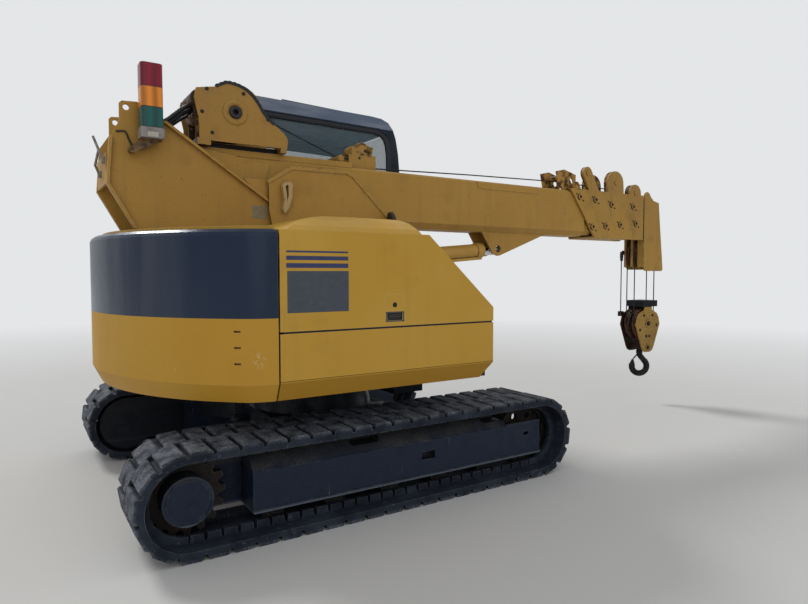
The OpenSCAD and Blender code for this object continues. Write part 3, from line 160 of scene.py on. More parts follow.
for name, strength, width, aim in [("sun_behind_left", 1.5, 14.0, (48.0, 0.0, 200.0)),
                                   ("soft_front_right", 0.35, 60.0, (62.0, 0.0, -20.0))]:
    lamp = bpy.data.lights.new(name, "SUN")
    lamp.energy = strength
    lamp.angle = math.radians(width)
    lamp_object = bpy.data.objects.new(name, lamp)
    lamp_object.rotation_euler = tuple(math.radians(a) for a in aim)
    bpy.context.scene.collection.objects.link(lamp_object)


# Undercarriage paint: dark blue-grey chassis enamel, satin, under dried mud dust. The dust lies on upward
# faces and in patches about 0.1 m across; edges are rubbed lighter and carry a painted highlight, and corners
# a painted shade.
def ranged(tree, value, low, high):
    """Values from 0 to 1 stretched to run from low to high."""
    return add(tree, "MapRange", None, {"Value": value, "To Min": low, "To Max": high}).outputs[0]


def edge_wear_and_highlight(tree, radius, low, high):
    """How far the rounded normal over a radius turns from the face's own, from 0 to 1: the edge mask for wear
    and painted highlights.
    """
    rounded = add(tree, "Bevel", {"samples": 4}, {"Radius": radius}).outputs[0]
    own = add(tree, "NewGeometry").outputs["Normal"]
    turn = add(tree, "VectorMath", {"operation": "DOT_PRODUCT"}, {0: rounded, 1: own}).outputs["Value"]
    return spread(tree, turn, 1 - low, 1 - high)


def noise(tree, place, scale, detail, low, high):
    """Fractal noise with its values between low and high stretched to 0 to 1."""
    raw = add(tree, "TexNoise", None, {"Vector": place, "Scale": scale, "Detail": detail}).outputs[0]
    return spread(tree, raw, low, high)


def streaked(tree, place, scale, low, high, turn=(0.0, 0.0, 0.0), detail=5.0):
    """Noise drawn out into streaks by unequal scales on the three axes."""
    long = add(tree, "Mapping", None, {"Vector": place, "Rotation": turn, "Scale": scale}).outputs[0]
    return noise(tree, long, 1.0, detail, low, high)


def times(tree, a, b):
    """The product of two values, held between 0 and 1."""
    return add(tree, "Math", {"operation": "MULTIPLY", "use_clamp": True}, {0: a, 1: b}).outputs[0]


def over(tree, below, above, amount):
    """Lays one colour over another by an amount; each colour is a hex code or a socket."""
    below, above = (linear(c) if isinstance(c, str) else c for c in (below, above))
    return add(tree, "MixRGB", None, {"Fac": amount, "Color1": below, "Color2": above}).outputs[0]


def crevice_shade(tree, distance, low, high):
    """How closed in a point is within a distance, from 0 in the open to 1 in a corner; the mask for painted
    shade.
    """
    free = add(tree, "AmbientOcclusion", {"samples": 5}, {"Distance": distance}).outputs["AO"]
    return spread(tree, free, high, low)


def bumps(tree, place, scale, depth, strength):
    """A bump from fine noise, its depth in metres."""
    raw = add(tree, "TexNoise", None, {"Vector": place, "Scale": scale, "Detail": 4.0}).outputs[0]
    return add(tree, "Bump", None, {"Height": raw, "Distance": depth, "Strength": strength}).outputs[0]


def zone(tree, place, low, high, soft=0.006):
    """1 inside a box and 0 outside, with a soft rim; None leaves a side of the box open."""
    split = add(tree, "SeparateXYZ", None, {0: place})
    inside = 1.0
    for axis, start, end in zip("XYZ", low, high):
        for edge, turn in ((start, 1), (end, -1)):
            if edge is not None:
                past = spread(tree, split.outputs[axis], edge - turn * soft, edge + turn * soft)
                inside = times(tree, inside, past)
    return inside


def surface(tree, out, inputs):
    """Ends a material's tree with a Principled shader and these inputs."""
    shader = add(tree, "BsdfPrincipled", None, inputs)
    tree.links.new(shader.outputs[0], out.inputs["Surface"])


def dusty_enamel(name, paint, dust, bare, dustiness, scratches=0.0, zones=()):
    """Chassis enamel: paint, then dust where faces look up and in noise patches, then rubbed edges with a
    painted highlight, then painted shade in corners.

    Each zone is a box with a colour and how much of it lies on the paint: mud, a paler line, painted shade.
    """
    made, tree, out = blank_material(name)
    place = object_place(tree)
    facing = add(tree, "SeparateXYZ", None, {0: add(tree, "NewGeometry").outputs["Normal"]}).outputs["Z"]
    patches = noise(tree, place, 9.0, 6.0, 0.42, 0.66)
    grains = noise(tree, place, 90.0, 3.0, 0.35, 0.7)
    settled = times(tree, calc(tree, "ADD", spread(tree, facing, 0.1, 0.9), dustiness), patches)
    colour = over(tree, paint, dust, times(tree, settled, grains))
    # Edges lighter: rubbed paint with a painted highlight.
    rubbed = times(tree, edge_wear_and_highlight(tree, 0.008, 0.04, 0.3), noise(tree, place, 22.0, 4.0, 0.38, 0.6))
    colour = over(tree, colour, bare, rubbed)
    scratched = streaked(tree, place, (70.0, 70.0, 5.0), 0.72, 0.78, (0.0, 0.5, 0.0))
    colour = over(tree, colour, "#8D9097", times(tree, scratched, scratches))
    # Painted shade with grime in corners, broken by noise.
    closed = times(tree, crevice_shade(tree, 0.10, 0.15, 0.75), noise(tree, place, 5.0, 3.0, 0.1, 0.5))
    colour = over(tree, colour, "#05080E", closed)
    for low, high, shade, cover in zones:
        colour = over(tree, colour, shade, times(tree, zone(tree, place, low, high), cover))
    surface(tree, out, {
        "Base Color": colour, "Roughness": ranged(tree, patches, 0.42, 0.8), "Specular IOR Level": 0.3,
        "Normal": bumps(tree, place, 60.0, 0.003, 0.5)})
    return made


def finish_nodes(made, *names):
    """Puts one material in every slot of the named CAD nodes."""
    for name in names:
        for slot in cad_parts[name].material_slots:
            slot.material = made


FRAME_FACE, SILL = -1.080, 0.138  # outer face of the right frame, lower edge of both
POCKET_X = 0.206  # rear end of the square hole in the frame
INNER_SIDE = 0.765  # distance of the frames' inner faces from the middle plane
chassis_enamel = dusty_enamel("chassis_enamel", "#131F33", "#4E4A45", "#5D646D", 0.16, 0.5, [
    ((None, None, SILL - 0.002), (None, None, SILL + 0.009), "#78808A", 0.45),  # paler line along the lower edge
    ((None, None, SILL + 0.215), (None, None, SILL + 0.31), "#3A3834", 0.45),  # mud along the top
    ((POCKET_X - 0.001, FRAME_FACE + 0.003, SILL + 0.098), (POCKET_X + 0.098, None, SILL + 0.152),
     "#020408", 0.95),  # painted shade in the square hole
    ((None, -INNER_SIDE, None), (None, INNER_SIDE, None), "#04070D", 0.85)])  # painted shade on the inner faces
finish_nodes(chassis_enamel, "track_frame_right", "track_frame_left", "final_drive_right",
             "final_drive_left")
# The car body and revolving frame, under the upper works, take a darker copy of the enamel: painted shade.
shaded_enamel = dusty_enamel("shaded_enamel", "#070D19", "#2E2B28", "#2A3038", 0.05)
finish_nodes(shaded_enamel, "car_body", "revolving_frame")


# Rusted parts: sprockets, idlers, rollers, sheaves and rings are bare cast or rolled steel. Rust stands in
# patches of 20 to 50 mm, rubbed faces and edges are bright with a painted highlight, and corners carry
# painted shade.
def rusty_steel(name, steel, rust, deep, amount, shine):
    """Bare steel: two tones of rust by noise over the steel, edges rubbed bright with a painted highlight,
    painted shade in corners.
    """
    made, tree, out = blank_material(name)
    place = object_place(tree)
    rusted = noise(tree, place, 26.0, 8.0, 0.62 - amount * 0.4, 0.72 - amount * 0.4)
    colour = over(tree, rust, deep, noise(tree, place, 70.0, 5.0, 0.4, 0.65))
    colour = over(tree, steel, colour, rusted)
    # Edges lighter: rubbed steel with a painted highlight.
    rubbed = times(tree, edge_wear_and_highlight(tree, 0.005, 0.04, 0.35), noise(tree, place, 30.0, 4.0, 0.35, 0.6))
    colour = over(tree, colour, "#8A857E", rubbed)
    # Painted shade in corners.
    colour = over(tree, colour, "#0D0B0A", times(tree, crevice_shade(tree, 0.06, 0.1, 0.7), 0.85))
    surface(tree, out, {
        "Base Color": colour, "Roughness": ranged(tree, rusted, shine, 0.85),
        "Metallic": ranged(tree, rusted, 0.75, 0.1), "Normal": bumps(tree, place, 120.0, 0.002, 0.6)})
    return made


rusted_casting = rusty_steel("rusted_casting", "#2B2A2B", "#33261E", "#171310", 0.5, 0.5)
finish_nodes(rusted_casting, "sprocket_right", "sprocket_left", "idler_right", "idler_left")
greasy_steel = rusty_steel("greasy_steel", "#13151A", "#1C1714", "#0C0A09", 0.7, 0.6)
finish_nodes(greasy_steel, "rollers_right", "rollers_left", "slew_inner_ring", "slew_outer_ring",
             "engine_block")
rusted_sheave = rusty_steel("rusted_sheave", "#3B332C", "#6E3E22", "#3A2114", 0.6, 0.45)
finish_nodes(rusted_sheave, "tip_sheaves", "block_sheaves", "winch_drum")

# Rubber tracks: moulded black rubber, grey-brown with dried dust on the lug tops and darker on the side
# walls, with painted shade between the lugs and a painted highlight on the rubbed edges. Two rows of moulded
# guide blocks stand inside, one pair a link.
LINKS = 73
WHEELBASE, REAR_AXLE, AXLE_Z = 2.235, -1.120, 0.26
BELT_INNER, PITCH_RADIUS = 0.208, 0.242
LUG_FOOT, LUG_TOP = 0.238, 0.258  # distance from the loop's middle line


def rubber(name, lug_dust):
    """Track rubber: dust grows with the distance outside the loop's middle line, broken by noise."""
    made, tree, out = blank_material(name)
    place = object_place(tree)
    split = add(tree, "SeparateXYZ", None, {0: place})
    limits = {"Value": split.outputs["X"], "Min": REAR_AXLE, "Max": REAR_AXLE + WHEELBASE}
    dx = calc(tree, "SUBTRACT", split.outputs["X"], add(tree, "Clamp", None, limits).outputs[0])
    dz = calc(tree, "SUBTRACT", split.outputs["Z"], AXLE_Z)
    arm = add(tree, "CombineXYZ", None, {"X": dx, "Z": dz}).outputs[0]
    reach = add(tree, "VectorMath", {"operation": "LENGTH"}, {0: arm}).outputs["Value"]
    colour = over(tree, "#161C27", "#2B323E", noise(tree, place, 7.0, 6.0, 0.4, 0.7))
    tops = times(tree, spread(tree, reach, LUG_FOOT, LUG_TOP), noise(tree, place, 14.0, 6.0, 0.32, 0.62))
    colour = over(tree, colour, lug_dust, times(tree, tops, noise(tree, place, 110.0, 4.0, 0.3, 0.65)))
    colour = over(tree, colour, "#66676A", times(tree, noise(tree, place, 34.0, 8.0, 0.62, 0.76), 0.5))
    # Edges lighter: rubbed rubber with a painted highlight.
    rubbed = times(tree, edge_wear_and_highlight(tree, 0.007, 0.03, 0.3), noise(tree, place, 24.0, 4.0, 0.35, 0.65))
    colour = over(tree, colour, "#7E7D7C", times(tree, rubbed, 0.6))
    # Painted shade between the lugs and in corners.
    colour = over(tree, colour, "#07090D", times(tree, crevice_shade(tree, 0.05, 0.1, 0.6), 0.8))
    surface(tree, out, {
        "Base Color": colour, "Roughness": 0.82, "Specular IOR Level": 0.28,
        "Normal": bumps(tree, place, 45.0, 0.006, 0.7)})
    return made


def new_piece(name, points, faces, made, body, slot, smooth=False):
    """A mesh object at the origin with its material, riding on a body."""
    mesh = bpy.data.meshes.new(name)
    mesh.from_pydata(np.asarray(points).tolist(), [], faces)
    mesh.materials.append(made)
    mesh.polygons.foreach_set("use_smooth", np.full(len(mesh.polygons), smooth))
    mesh.update()
    piece = bpy.data.objects.new(name, mesh)
    bpy.context.scene.collection.objects.link(piece)
    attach(piece, body)
    return piece


def turned(points, angles, places):
    """The same small shape turned about Y by each angle, then set at each place."""
    c, s = np.cos(angles)[:, None], np.sin(angles)[:, None]
    x = points[None, :, 0] * c + points[None, :, 2] * s
    z = -points[None, :, 0] * s + points[None, :, 2] * c
    y = np.broadcast_to(points[None, :, 1], x.shape)
    return (np.stack([x, y, z], -1) + np.asarray(places)[:, None, :]).reshape(-1, 3)


def loop_places():
    """The middle of each link on the belt's inner line and its turn: two runs and two arcs."""
    arc = np.pi * PITCH_RADIUS
    ends = np.cumsum([WHEELBASE, arc, WHEELBASE, arc])
    s = ((np.arange(LINKS) + 0.5) / LINKS * ends[3]) % ends[3]
    runs = [s < ends[0], s < ends[1], s < ends[2]]
    turn = np.select(runs, [0.0, (s - ends[0]) / PITCH_RADIUS, np.pi], np.pi + (s - ends[2]) / PITCH_RADIUS)
    front = REAR_AXLE + WHEELBASE
    base = np.select(runs, [REAR_AXLE + s, front, front - (s - ends[1])], REAR_AXLE)
    return base + BELT_INNER * np.sin(turn), AXLE_Z - BELT_INNER * np.cos(turn), -turn


def guide_block(length, width, height, draw=0.005):
    """A moulded block on the belt's inner face: a rectangle below, one drawn in on every side above."""
    x, y = length / 2, width / 2
    low = np.array([[-x, -y, -0.004], [x, -y, -0.004], [x, y, -0.004], [-x, y, -0.004]])
    return np.concatenate([low, low * [1 - draw / x, 1 - draw / y, 0] + [0, 0, height]])


track_rubber = rubber("track_rubber", "#72757B")
finish_nodes(track_rubber, "track_right", "track_left")
BLOCK_LENGTH, BLOCK_WIDTH = 0.071, 0.038
GUIDE_ROWS = [(1.042, 0.036), (0.830, 0.020)]  # distance from the middle plane, height
block_faces = [[3, 2, 1, 0], [4, 5, 6, 7]] + wrap(2, 4)
for side, name in ((-1, "track_guides_right"), (1, "track_guides_left")):
    x, z, turn = loop_places()
    parts = [turned(guide_block(BLOCK_LENGTH, BLOCK_WIDTH, height), turn,
                    np.stack([x, np.full(LINKS, side * y), z], -1)) for y, height in GUIDE_ROWS]
    faces = [[v + 8 * n for v in face] for n in range(2 * LINKS) for face in block_faces]
    new_piece(name, np.concatenate(parts), faces, track_rubber, "undercarriage", "track_rubber")


# Yellow machine paint: sprayed enamel gone matt and ochre, chalky in broad patches, with fine dark specks,
# faint runs of dirt, painted shade with grime in corners, and edges rubbed pale with a painted highlight and
# chipped to dark primer in places.
def weathered_paint(name, paint, faded, specks, chips, rough, zones=()):
    """Old enamel: broad fading, runs, specks, painted corner shade with grime, and edge wear with a painted
    highlight laid over each other.

    Each zone is a box with a colour, how far that colour covers the paint there, and a soft rim.
    """
    made, tree, out = blank_material(name)
    place = object_place(tree)
    colour = over(tree, paint, faded, noise(tree, place, 1.7, 4.0, 0.35, 0.7))
    runs = streaked(tree, place, (16.0, 16.0, 0.8), 0.55, 0.8, detail=4.0)
    colour = over(tree, colour, "#7C6233", times(tree, runs, 0.10 + 0.5 * specks))
    spotted = noise(tree, place, 75.0, 6.0, 0.73 - specks * 0.16, 0.78 - specks * 0.16)
    colour = over(tree, colour, "#4C3A20", times(tree, spotted, 0.7))
    smears = times(tree, noise(tree, place, 5.0, 8.0, 0.56, 0.78), 0.13 + 0.5 * specks)
    colour = over(tree, colour, "#6B522A", smears)
    # Pale edges: rubbed paint with a painted highlight; the same mask places the chips.
    edge = edge_wear_and_highlight(tree, 0.006, 0.03, 0.3)
    colour = over(tree, colour, "#CDB077", times(tree, edge, 0.55))
    chipped = times(tree, edge, noise(tree, place, 38.0, 6.0, 0.66 - chips * 0.3, 0.7 - chips * 0.3))
    colour = over(tree, colour, "#33271A", chipped)
    # Painted shade with grime in corners.
    closed = times(tree, crevice_shade(tree, 0.07, 0.15, 0.7), noise(tree, place, 9.0, 6.0, 0.2, 0.55))
    colour = over(tree, colour, "#2E2415", times(tree, closed, 0.85))
    for low, high, shade, cover, soft in zones:
        dirty = noise(tree, place, 17.0, 8.0, 0.62 - cover * 0.36, 0.72 - cover * 0.36)
        colour = over(tree, colour, shade, times(tree, zone(tree, place, low, high, soft), dirty))
    uneven = ranged(tree, noise(tree, place, 6.0, 5.0, 0.3, 0.7), rough - 0.08, rough + 0.14)
    surface(tree, out, {
        "Base Color": colour, "Roughness": uneven, "Specular IOR Level": 0.27,
        "Normal": bumps(tree, place, 28.0, 0.0022, 0.35)})
    return made


SKIRT_Z = 0.800  # fold of the lower panels
GUARD_FACE = -0.2635  # outer face of the guard plate
WINCH_FOOT_Z = 2.149  # floor between the winch's side plates
SOLID = 1.6  # a cover at which the noise leaves no gap
cover_paint = weathered_paint("cover_paint", "#BE9232", "#C49A3E", 0.1, 0.1, 0.42, [
    ((-0.043, None, 1.149), (-0.011, -1.1608, 1.181), "#17181C", SOLID, 0.0001),  # the lock
    ((-0.078, -1.1592, 1.076), (0.024, -1.120, 1.126), "#0D1017", SOLID, 0.0003)])  # painted shade in the grip's recess
finish_nodes(cover_paint, "hood_right", "rear_deck")
skirt_paint = weathered_paint("skirt_paint", "#BE9232", "#C2963A", 0.12, 0.15, 0.42, [
    ((None, None, SKIRT_Z - 0.0015), (None, None, SKIRT_Z + 0.0015), "#3A2A12", 1.4, 0.001),  # painted shadow in the fold
    ((None, None, None), (None, None, SKIRT_Z - 0.004), "#A87C22", SOLID, 0.003)])  # the skirt below
finish_nodes(skirt_paint, "lower_panel_right", "cover_left")
boom_paint = weathered_paint("boom_paint", "#B0873B", "#A87F38", 0.35, 0.35, 0.5, [
    ((2.30, None, 2.096), (2.62, None, None), "#4A3015", 0.35, 0.006)])  # oil behind the head
finish_nodes(boom_paint, "boom_post", "boom_base")
barrel_paint = weathered_paint("barrel_paint", "#C2994A", "#B98F42", 0.3, 0.3, 0.45)
finish_nodes(barrel_paint, "luff_barrel")
guard_paint = weathered_paint("guard_paint", "#B0873B", "#A87F38", 0.35, 0.35, 0.5, [
    ((-0.36, None, 1.69), (-0.24, GUARD_FACE, 1.93), "#B59A68", SOLID, 0.001)])  # the worn pad
finish_nodes(guard_paint, "guard_plate")
winch_paint = weathered_paint("winch_paint", "#A8803B", "#9C7638", 0.6, 0.5, 0.5, [
    ((None, -0.187, None), (-0.77, 0.187, None), "#3B2713", 0.7, 0.004),  # between the side plates
    ((-0.75, -0.187, None), (-0.30, 0.187, WINCH_FOOT_Z), "#120D08", SOLID, 0.002),  # painted shade on the floor under the drum
    ((0.26, None, 2.19), (0.50, None, None), "#5A4421", 0.4, 0.01)])  # under the rope guide
finish_nodes(winch_paint, "winch_frame", "rope_guide")
head_paint = weathered_paint("head_paint", "#B0873B", "#A27B3B", 0.7, 0.7, 0.55, [
    ((2.50, -0.138, 2.104), (None, 0.158, None), "#40290F", 0.7, 0.004)])  # oil on the upper faces
finish_nodes(head_paint, "section_2", "section_3", "section_4", "section_5")
block_paint = weathered_paint("block_paint", "#AE883D", "#917136", 1.0, 1.1, 0.6, [
    ((None, -0.106, None), (None, 0.0765, None), "#2E1C10", 1.0, 0.0005),  # between the cheeks
    ((None, None, 0.990), (None, None, None), "#0B0C0F", SOLID, 0.002),  # the black head bar
    ((None, 0.0785, None), (None, None, None), "#14110E", SOLID, 0.001)])  # the far cheek, in shade
finish_nodes(block_paint, "hook_block")

# Counterweight: one casting in the same ochre enamel. Its upper part carries a glossy dark navy band from
# 1.118 m up to the rim; on the rear face it is rubbed slightly dull and painted paler as lit, in broad
# upright streaks.
BAND_Z = 1.118
counterweight_enamel, tree, out = blank_material("counterweight_enamel")
place = object_place(tree)
height = add(tree, "SeparateXYZ", None, {0: place}).outputs["Z"]
band = spread(tree, height, BAND_Z - 0.0005, BAND_Z + 0.0005)
yellow = over(tree, "#BE9231", "#B98A2C", noise(tree, place, 1.7, 4.0, 0.35, 0.7))
scuffs = streaked(tree, place, (30.0, 30.0, 6.0), 0.7, 0.8, (0.0, 0.6, 0.3), 7.0)
yellow = over(tree, yellow, "#D2B98A", times(tree, scuffs, 0.5))
yellow = over(tree, yellow, "#6B522A", times(tree, noise(tree, place, 60.0, 6.0, 0.7, 0.76), 0.6))
# On the rear face the navy band is painted paler in streaks as lit there, and the paint is rougher too.
behind = zone(tree, place, (None, None, None), (-1.12, None, None), 0.14)
dull_and_lit = times(tree, streaked(tree, place, (7.0, 7.0, 0.5), 0.35, 0.7), behind)
colour = over(tree, yellow, over(tree, "#17273E", "#464C57", dull_and_lit), band)
# Edges lighter: rubbed paint with a painted highlight.
colour = over(tree, colour, "#8C8471", times(tree, edge_wear_and_highlight(tree, 0.006, 0.03, 0.3), 0.4))
scrape = zone(tree, place, (-0.815, None, 0.885), (-0.770, None, 0.940), 0.02)
rubbed = times(tree, scrape, noise(tree, place, 60.0, 5.0, 0.5, 0.66))
colour = over(tree, colour, "#D9C79A", times(tree, rubbed, 0.6))
# Painted shade in corners.
colour = over(tree, colour, "#2E2415", times(tree, crevice_shade(tree, 0.06, 0.15, 0.6), 0.7))
rough = calc(tree, "ADD", ranged(tree, band, 0.45, 0.2), times(tree, dull_and_lit, 0.14))
surface(tree, out, {
    "Base Color": colour, "Roughness": rough, "Specular IOR Level": 0.27,
    "Normal": bumps(tree, place, 14.0, 0.003, 0.3)})
finish_nodes(counterweight_enamel, "counterweight")


# Hood markings: three plain navy stripes and a blank dark square of sheet vinyl on the right hood, the latch
# plate's thin pale outline as a painted highlight on its edge, and the pull handle of black plastic in its
# recess with a bezel.
def signed_area(outline):
    """Twice the area inside an outline, above zero where it runs counter-clockwise."""
    return np.sum(outline[:, 0] * np.roll(outline[:, 1], -1) - np.roll(outline[:, 0], -1) * outline[:, 1])


def plate(outline, y0, y1):
    """A flat plate: an outline in the XZ plane at y0 and y1, two faces and a wall."""
    outline = np.asarray(outline, float)
    n = len(outline)
    points = np.concatenate([np.insert(outline, 1, y, axis=1) for y in (y0, y1)])
    faces = [list(range(n)), list(range(2 * n - 1, n - 1, -1))] + flipped(wrap(2, n))
    return points, faces if (signed_area(outline) > 0) == (y0 < y1) else flipped(faces)


def rectangle(x0, z0, x1, z1, r, n=4):
    """A rectangle in the XZ plane with corners of radius r, counter-clockwise."""
    a = np.linspace(0, np.pi / 2, n)
    corners = [(x1 - r, z0 + r, -np.pi / 2), (x1 - r, z1 - r, 0),
               (x0 + r, z1 - r, np.pi / 2), (x0 + r, z0 + r, np.pi)]
    return np.concatenate([np.stack([x + r * np.cos(a + t), z + r * np.sin(a + t)], -1)
                           for x, z, t in corners])


def joined(*shapes):
    """Several shapes as one list of points and faces."""
    points, faces, count = [], [], 0
    for p, f in shapes:
        points.append(p)
        faces += [[v + count for v in face] for face in f]
        count += len(p)
    return np.concatenate(points), faces


def plain_finish(name, colour, second, rough, metallic=0.0, grain=60.0, depth=0.0008):
    """A simple finish: two close tones by fine noise, with a fine bump."""
    made, tree, out = blank_material(name)
    place = object_place(tree)
    surface(tree, out, {
        "Base Color": over(tree, colour, second, noise(tree, place, grain, 5.0, 0.35, 0.7)),
        "Roughness": rough, "Metallic": metallic, "Normal": bumps(tree, place, grain * 4, depth, 0.5)})
    return made


SIDE = -1.160  # outer face of the hood


def sheet(x0, z0, x1, z1, r, proud=0.0006):
    """A thin rounded rectangle on the hood's side, a hair proud of it."""
    return plate(rectangle(x0, z0, x1, z1, r), SIDE - proud, SIDE + 0.001)


navy_vinyl = plain_finish("navy_vinyl", "#27305A", "#303A63", 0.45, grain=30.0)
grey_vinyl = plain_finish("grey_vinyl", "#3C434E", "#444B55", 0.5, grain=30.0)
black_plastic = plain_finish("black_plastic", "#121419", "#1E2127", 0.5)
bolt_steel = plain_finish("bolt_steel", "#3A3128", "#20190F", 0.55, 0.5, 180.0)
edge_highlight_yellow = plain_finish("edge_highlight_yellow", "#CBA24C", "#BE9540", 0.6)
STRIPES = [(1.4425, 1.4515), (1.405, 1.4255), (1.366, 1.389)]  # lower and upper edge of each
new_piece("hood_stripes", *joined(*[sheet(-0.655, z0, -0.313, z1, 0.002) for z0, z1 in STRIPES]),
          navy_vinyl, "hood", "cab_paint")
new_piece("hood_blank_square", *sheet(-0.651, 1.141, -0.311, 1.350, 0.003), grey_vinyl, "hood", "cab_paint")
LATCH_X0, LATCH_Z0, LATCH_X1, LATCH_Z1, LATCH_RIM = -0.096, 1.134, 0.0395, 1.2257, 0.003
# The pale rim round the latch plate is a painted highlight along the plate's edge.
new_piece("latch_plate_edge", *sheet(LATCH_X0, LATCH_Z0, LATCH_X1, LATCH_Z1, 0.008, 0.0003),
          edge_highlight_yellow, "hood", "yellow_paint")
new_piece("latch_plate", *sheet(LATCH_X0 + LATCH_RIM, LATCH_Z0 + LATCH_RIM, LATCH_X1 - LATCH_RIM,
                                LATCH_Z1 - LATCH_RIM, 0.006), cover_paint, "hood", "yellow_paint")
BEZEL = [(-0.0835, 1.1225, 0.0330, 1.1275), (-0.0835, 1.0725, 0.0330, 1.0785),
         (-0.0835, 1.0725, -0.0765, 1.1275), (0.0235, 1.0725, 0.0330, 1.1275)]
new_piece("handle_bezel", *joined(*[sheet(*bar, 0.0024) for bar in BEZEL]),
          grey_vinyl, "hood", "black_plastic")
handle = joined(
    plate(rectangle(-0.076, 1.079, 0.022, 1.123, 0.010), SIDE + 0.008, SIDE + 0.020),
    plate(rectangle(-0.068, 1.102, 0.014, 1.118, 0.005), SIDE + 0.000, SIDE + 0.010))
new_piece("hood_handle", *handle, black_plastic, "hood", "black_plastic")

# Signal lamp: ribbed acrylic lenses in green, amber and red on a grey enamelled base with a pale
# blank label. Tubes show as darker upright cores. A faded blank patch is on the post beside it.
LENSES = [(2.152, "#0C5E58"), (2.264, "#F09026"), (2.376, "#8E0B2C")]  # lower edge, colour
LAMP_FACE, POST_FACE = -0.3660, -0.2210
lamp_acrylic, tree, out = blank_material("lamp_acrylic")
place = object_place(tree)
height = add(tree, "SeparateXYZ", None, {0: place}).outputs["Z"]
colour = over(tree, "#8B8784", "#6A655E", noise(tree, place, 20.0, 6.0, 0.45, 0.7))
bracket = over(tree, "#7A5C2E", "#3B2A1B", noise(tree, place, 30.0, 6.0, 0.4, 0.6))
colour = over(tree, colour, bracket, zone(tree, place, (None, None, None), (None, None, 2.092), 0.001))
for edge, shade in LENSES:
    colour = over(tree, colour, shade, calc(tree, "GREATER_THAN", height, edge))
for edge, shade in LENSES:
    gasket = zone(tree, place, (None, None, edge - 0.003), (None, None, edge + 0.003), 0.0015)
    colour = over(tree, colour, "#1C0F10", times(tree, gasket, 0.7))
waves = {"Vector": place, "Scale": 5.3, "Distortion": 0.6}
cores = add(tree, "TexWave", {"bands_direction": "X"}, waves).outputs["Fac"]
lenses = calc(tree, "GREATER_THAN", height, LENSES[0][0])
colour = over(tree, colour, "#240B10", times(tree, times(tree, lenses, 0.5), cores))
surface(tree, out, {
    "Base Color": colour, "Roughness": 0.25, "Specular IOR Level": 0.3, "Coat Weight": 0.12,
    "Coat Roughness": 0.1, "Normal": bumps(tree, place, 40.0, 0.001, 0.3)})
finish_nodes(lamp_acrylic, "signal_lamp")
pale_label = plain_finish("pale_label", "#B9B4A8", "#A8A092", 0.7)
faded_patch = plain_finish("faded_patch", "#8C8160", "#7D7250", 0.8)
label = plate(rectangle(-1.140, 2.099, -1.083, 2.124, 0.002), LAMP_FACE - 0.0010, LAMP_FACE + 0.0005)
new_piece("lamp_label", *label, pale_label, "upper", "lamp_lens")
patch = plate(rectangle(-0.506, 1.685, -0.405, 1.768, 0.003), POST_FACE - 0.0007, POST_FACE + 0.0005)
new_piece("post_blank_patch", *patch, faded_patch, "upper", "yellow_paint")

# Cab: steel shell in dark charcoal-navy enamel, satin. Above the rain gutter, which falls slightly
# forward, the roof is chalky and dusty. The panes are a thin grey-blue tint with black rubber seals.
GUTTER_FALL = 0.0167
right_y, left_y = 0.272, 1.140  # outer faces of the cab's right and left sides


def cab_shell_enamel():
    """Dusty enamel, paler above the gutter: height plus a sixtieth of X from the slewing axis."""
    made = dusty_enamel("cab_enamel", "#16212F", "#4A525E", "#4A5462", 0.02)
    tree = made.node_tree
    shader = next(node for node in tree.nodes if node.type == "BSDF_PRINCIPLED")
    below = shader.inputs["Base Color"].links[0].from_socket
    place = object_place(tree)
    split = add(tree, "SeparateXYZ", None, {0: place})
    height = calc(tree, "ADD", split.outputs["Z"], calc(tree, "MULTIPLY", split.outputs["X"], GUTTER_FALL))
    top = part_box("cab_shell")[1].z
    roof = spread(tree, height, top - 0.108, top - 0.103)
    chalky = over(tree, "#5F6C80", "#7A8492", streaked(tree, place, (2.0, 2.0, 14.0), 0.4, 0.65))
    tree.links.new(over(tree, below, chalky, roof), shader.inputs["Base Color"])
    return made


def smooth_outline(corners, soft, step=0.02):
    """A closed outline through corners: even steps along its edges, then a running mean over soft."""
    corners = np.asarray(corners, float)
    edge = np.linalg.norm(np.roll(corners, -1, 0) - corners, axis=1)
    s = np.concatenate([[0], np.cumsum(edge)])
    t = np.arange(0, s[-1], step)
    around = np.stack([np.interp(t, s, np.append(corners[:, k], corners[0, k])) for k in range(2)], -1)
    width = max(1, int(soft / step))
    return sum(np.roll(around, k, 0) for k in range(-width, width + 1)) / (2 * width + 1)


def seal(outline, width, lap, y0, y1):
    """A rubber profile round a closed outline in the XZ plane: a rounded section from y0 to y1,
    reaching lap outside the outline and width inside it, carried round on the outline's normals."""
    ahead = np.roll(outline, -1, 0) - np.roll(outline, 1, 0)
    ahead /= np.linalg.norm(ahead, axis=1, keepdims=True)
    outward = np.stack([ahead[:, 1], -ahead[:, 0]], -1) * (1 if signed_area(outline) > 0 else -1)
    section = [(lap, y1), (lap, y0 + 0.3 * (y1 - y0)), (lap - 0.004, y0), (0.004 - width, y0),
               (-width, y0 + 0.4 * (y1 - y0)), (-width, y1)]
    rows = np.stack([np.insert(outline + outward * a, 1, y, axis=1) for a, y in section])
    faces = wrap(len(section), len(outline), True)
    return rows.reshape(-1, 3), flipped(faces) if (signed_area(outline) > 0) == (y0 < y1) else faces


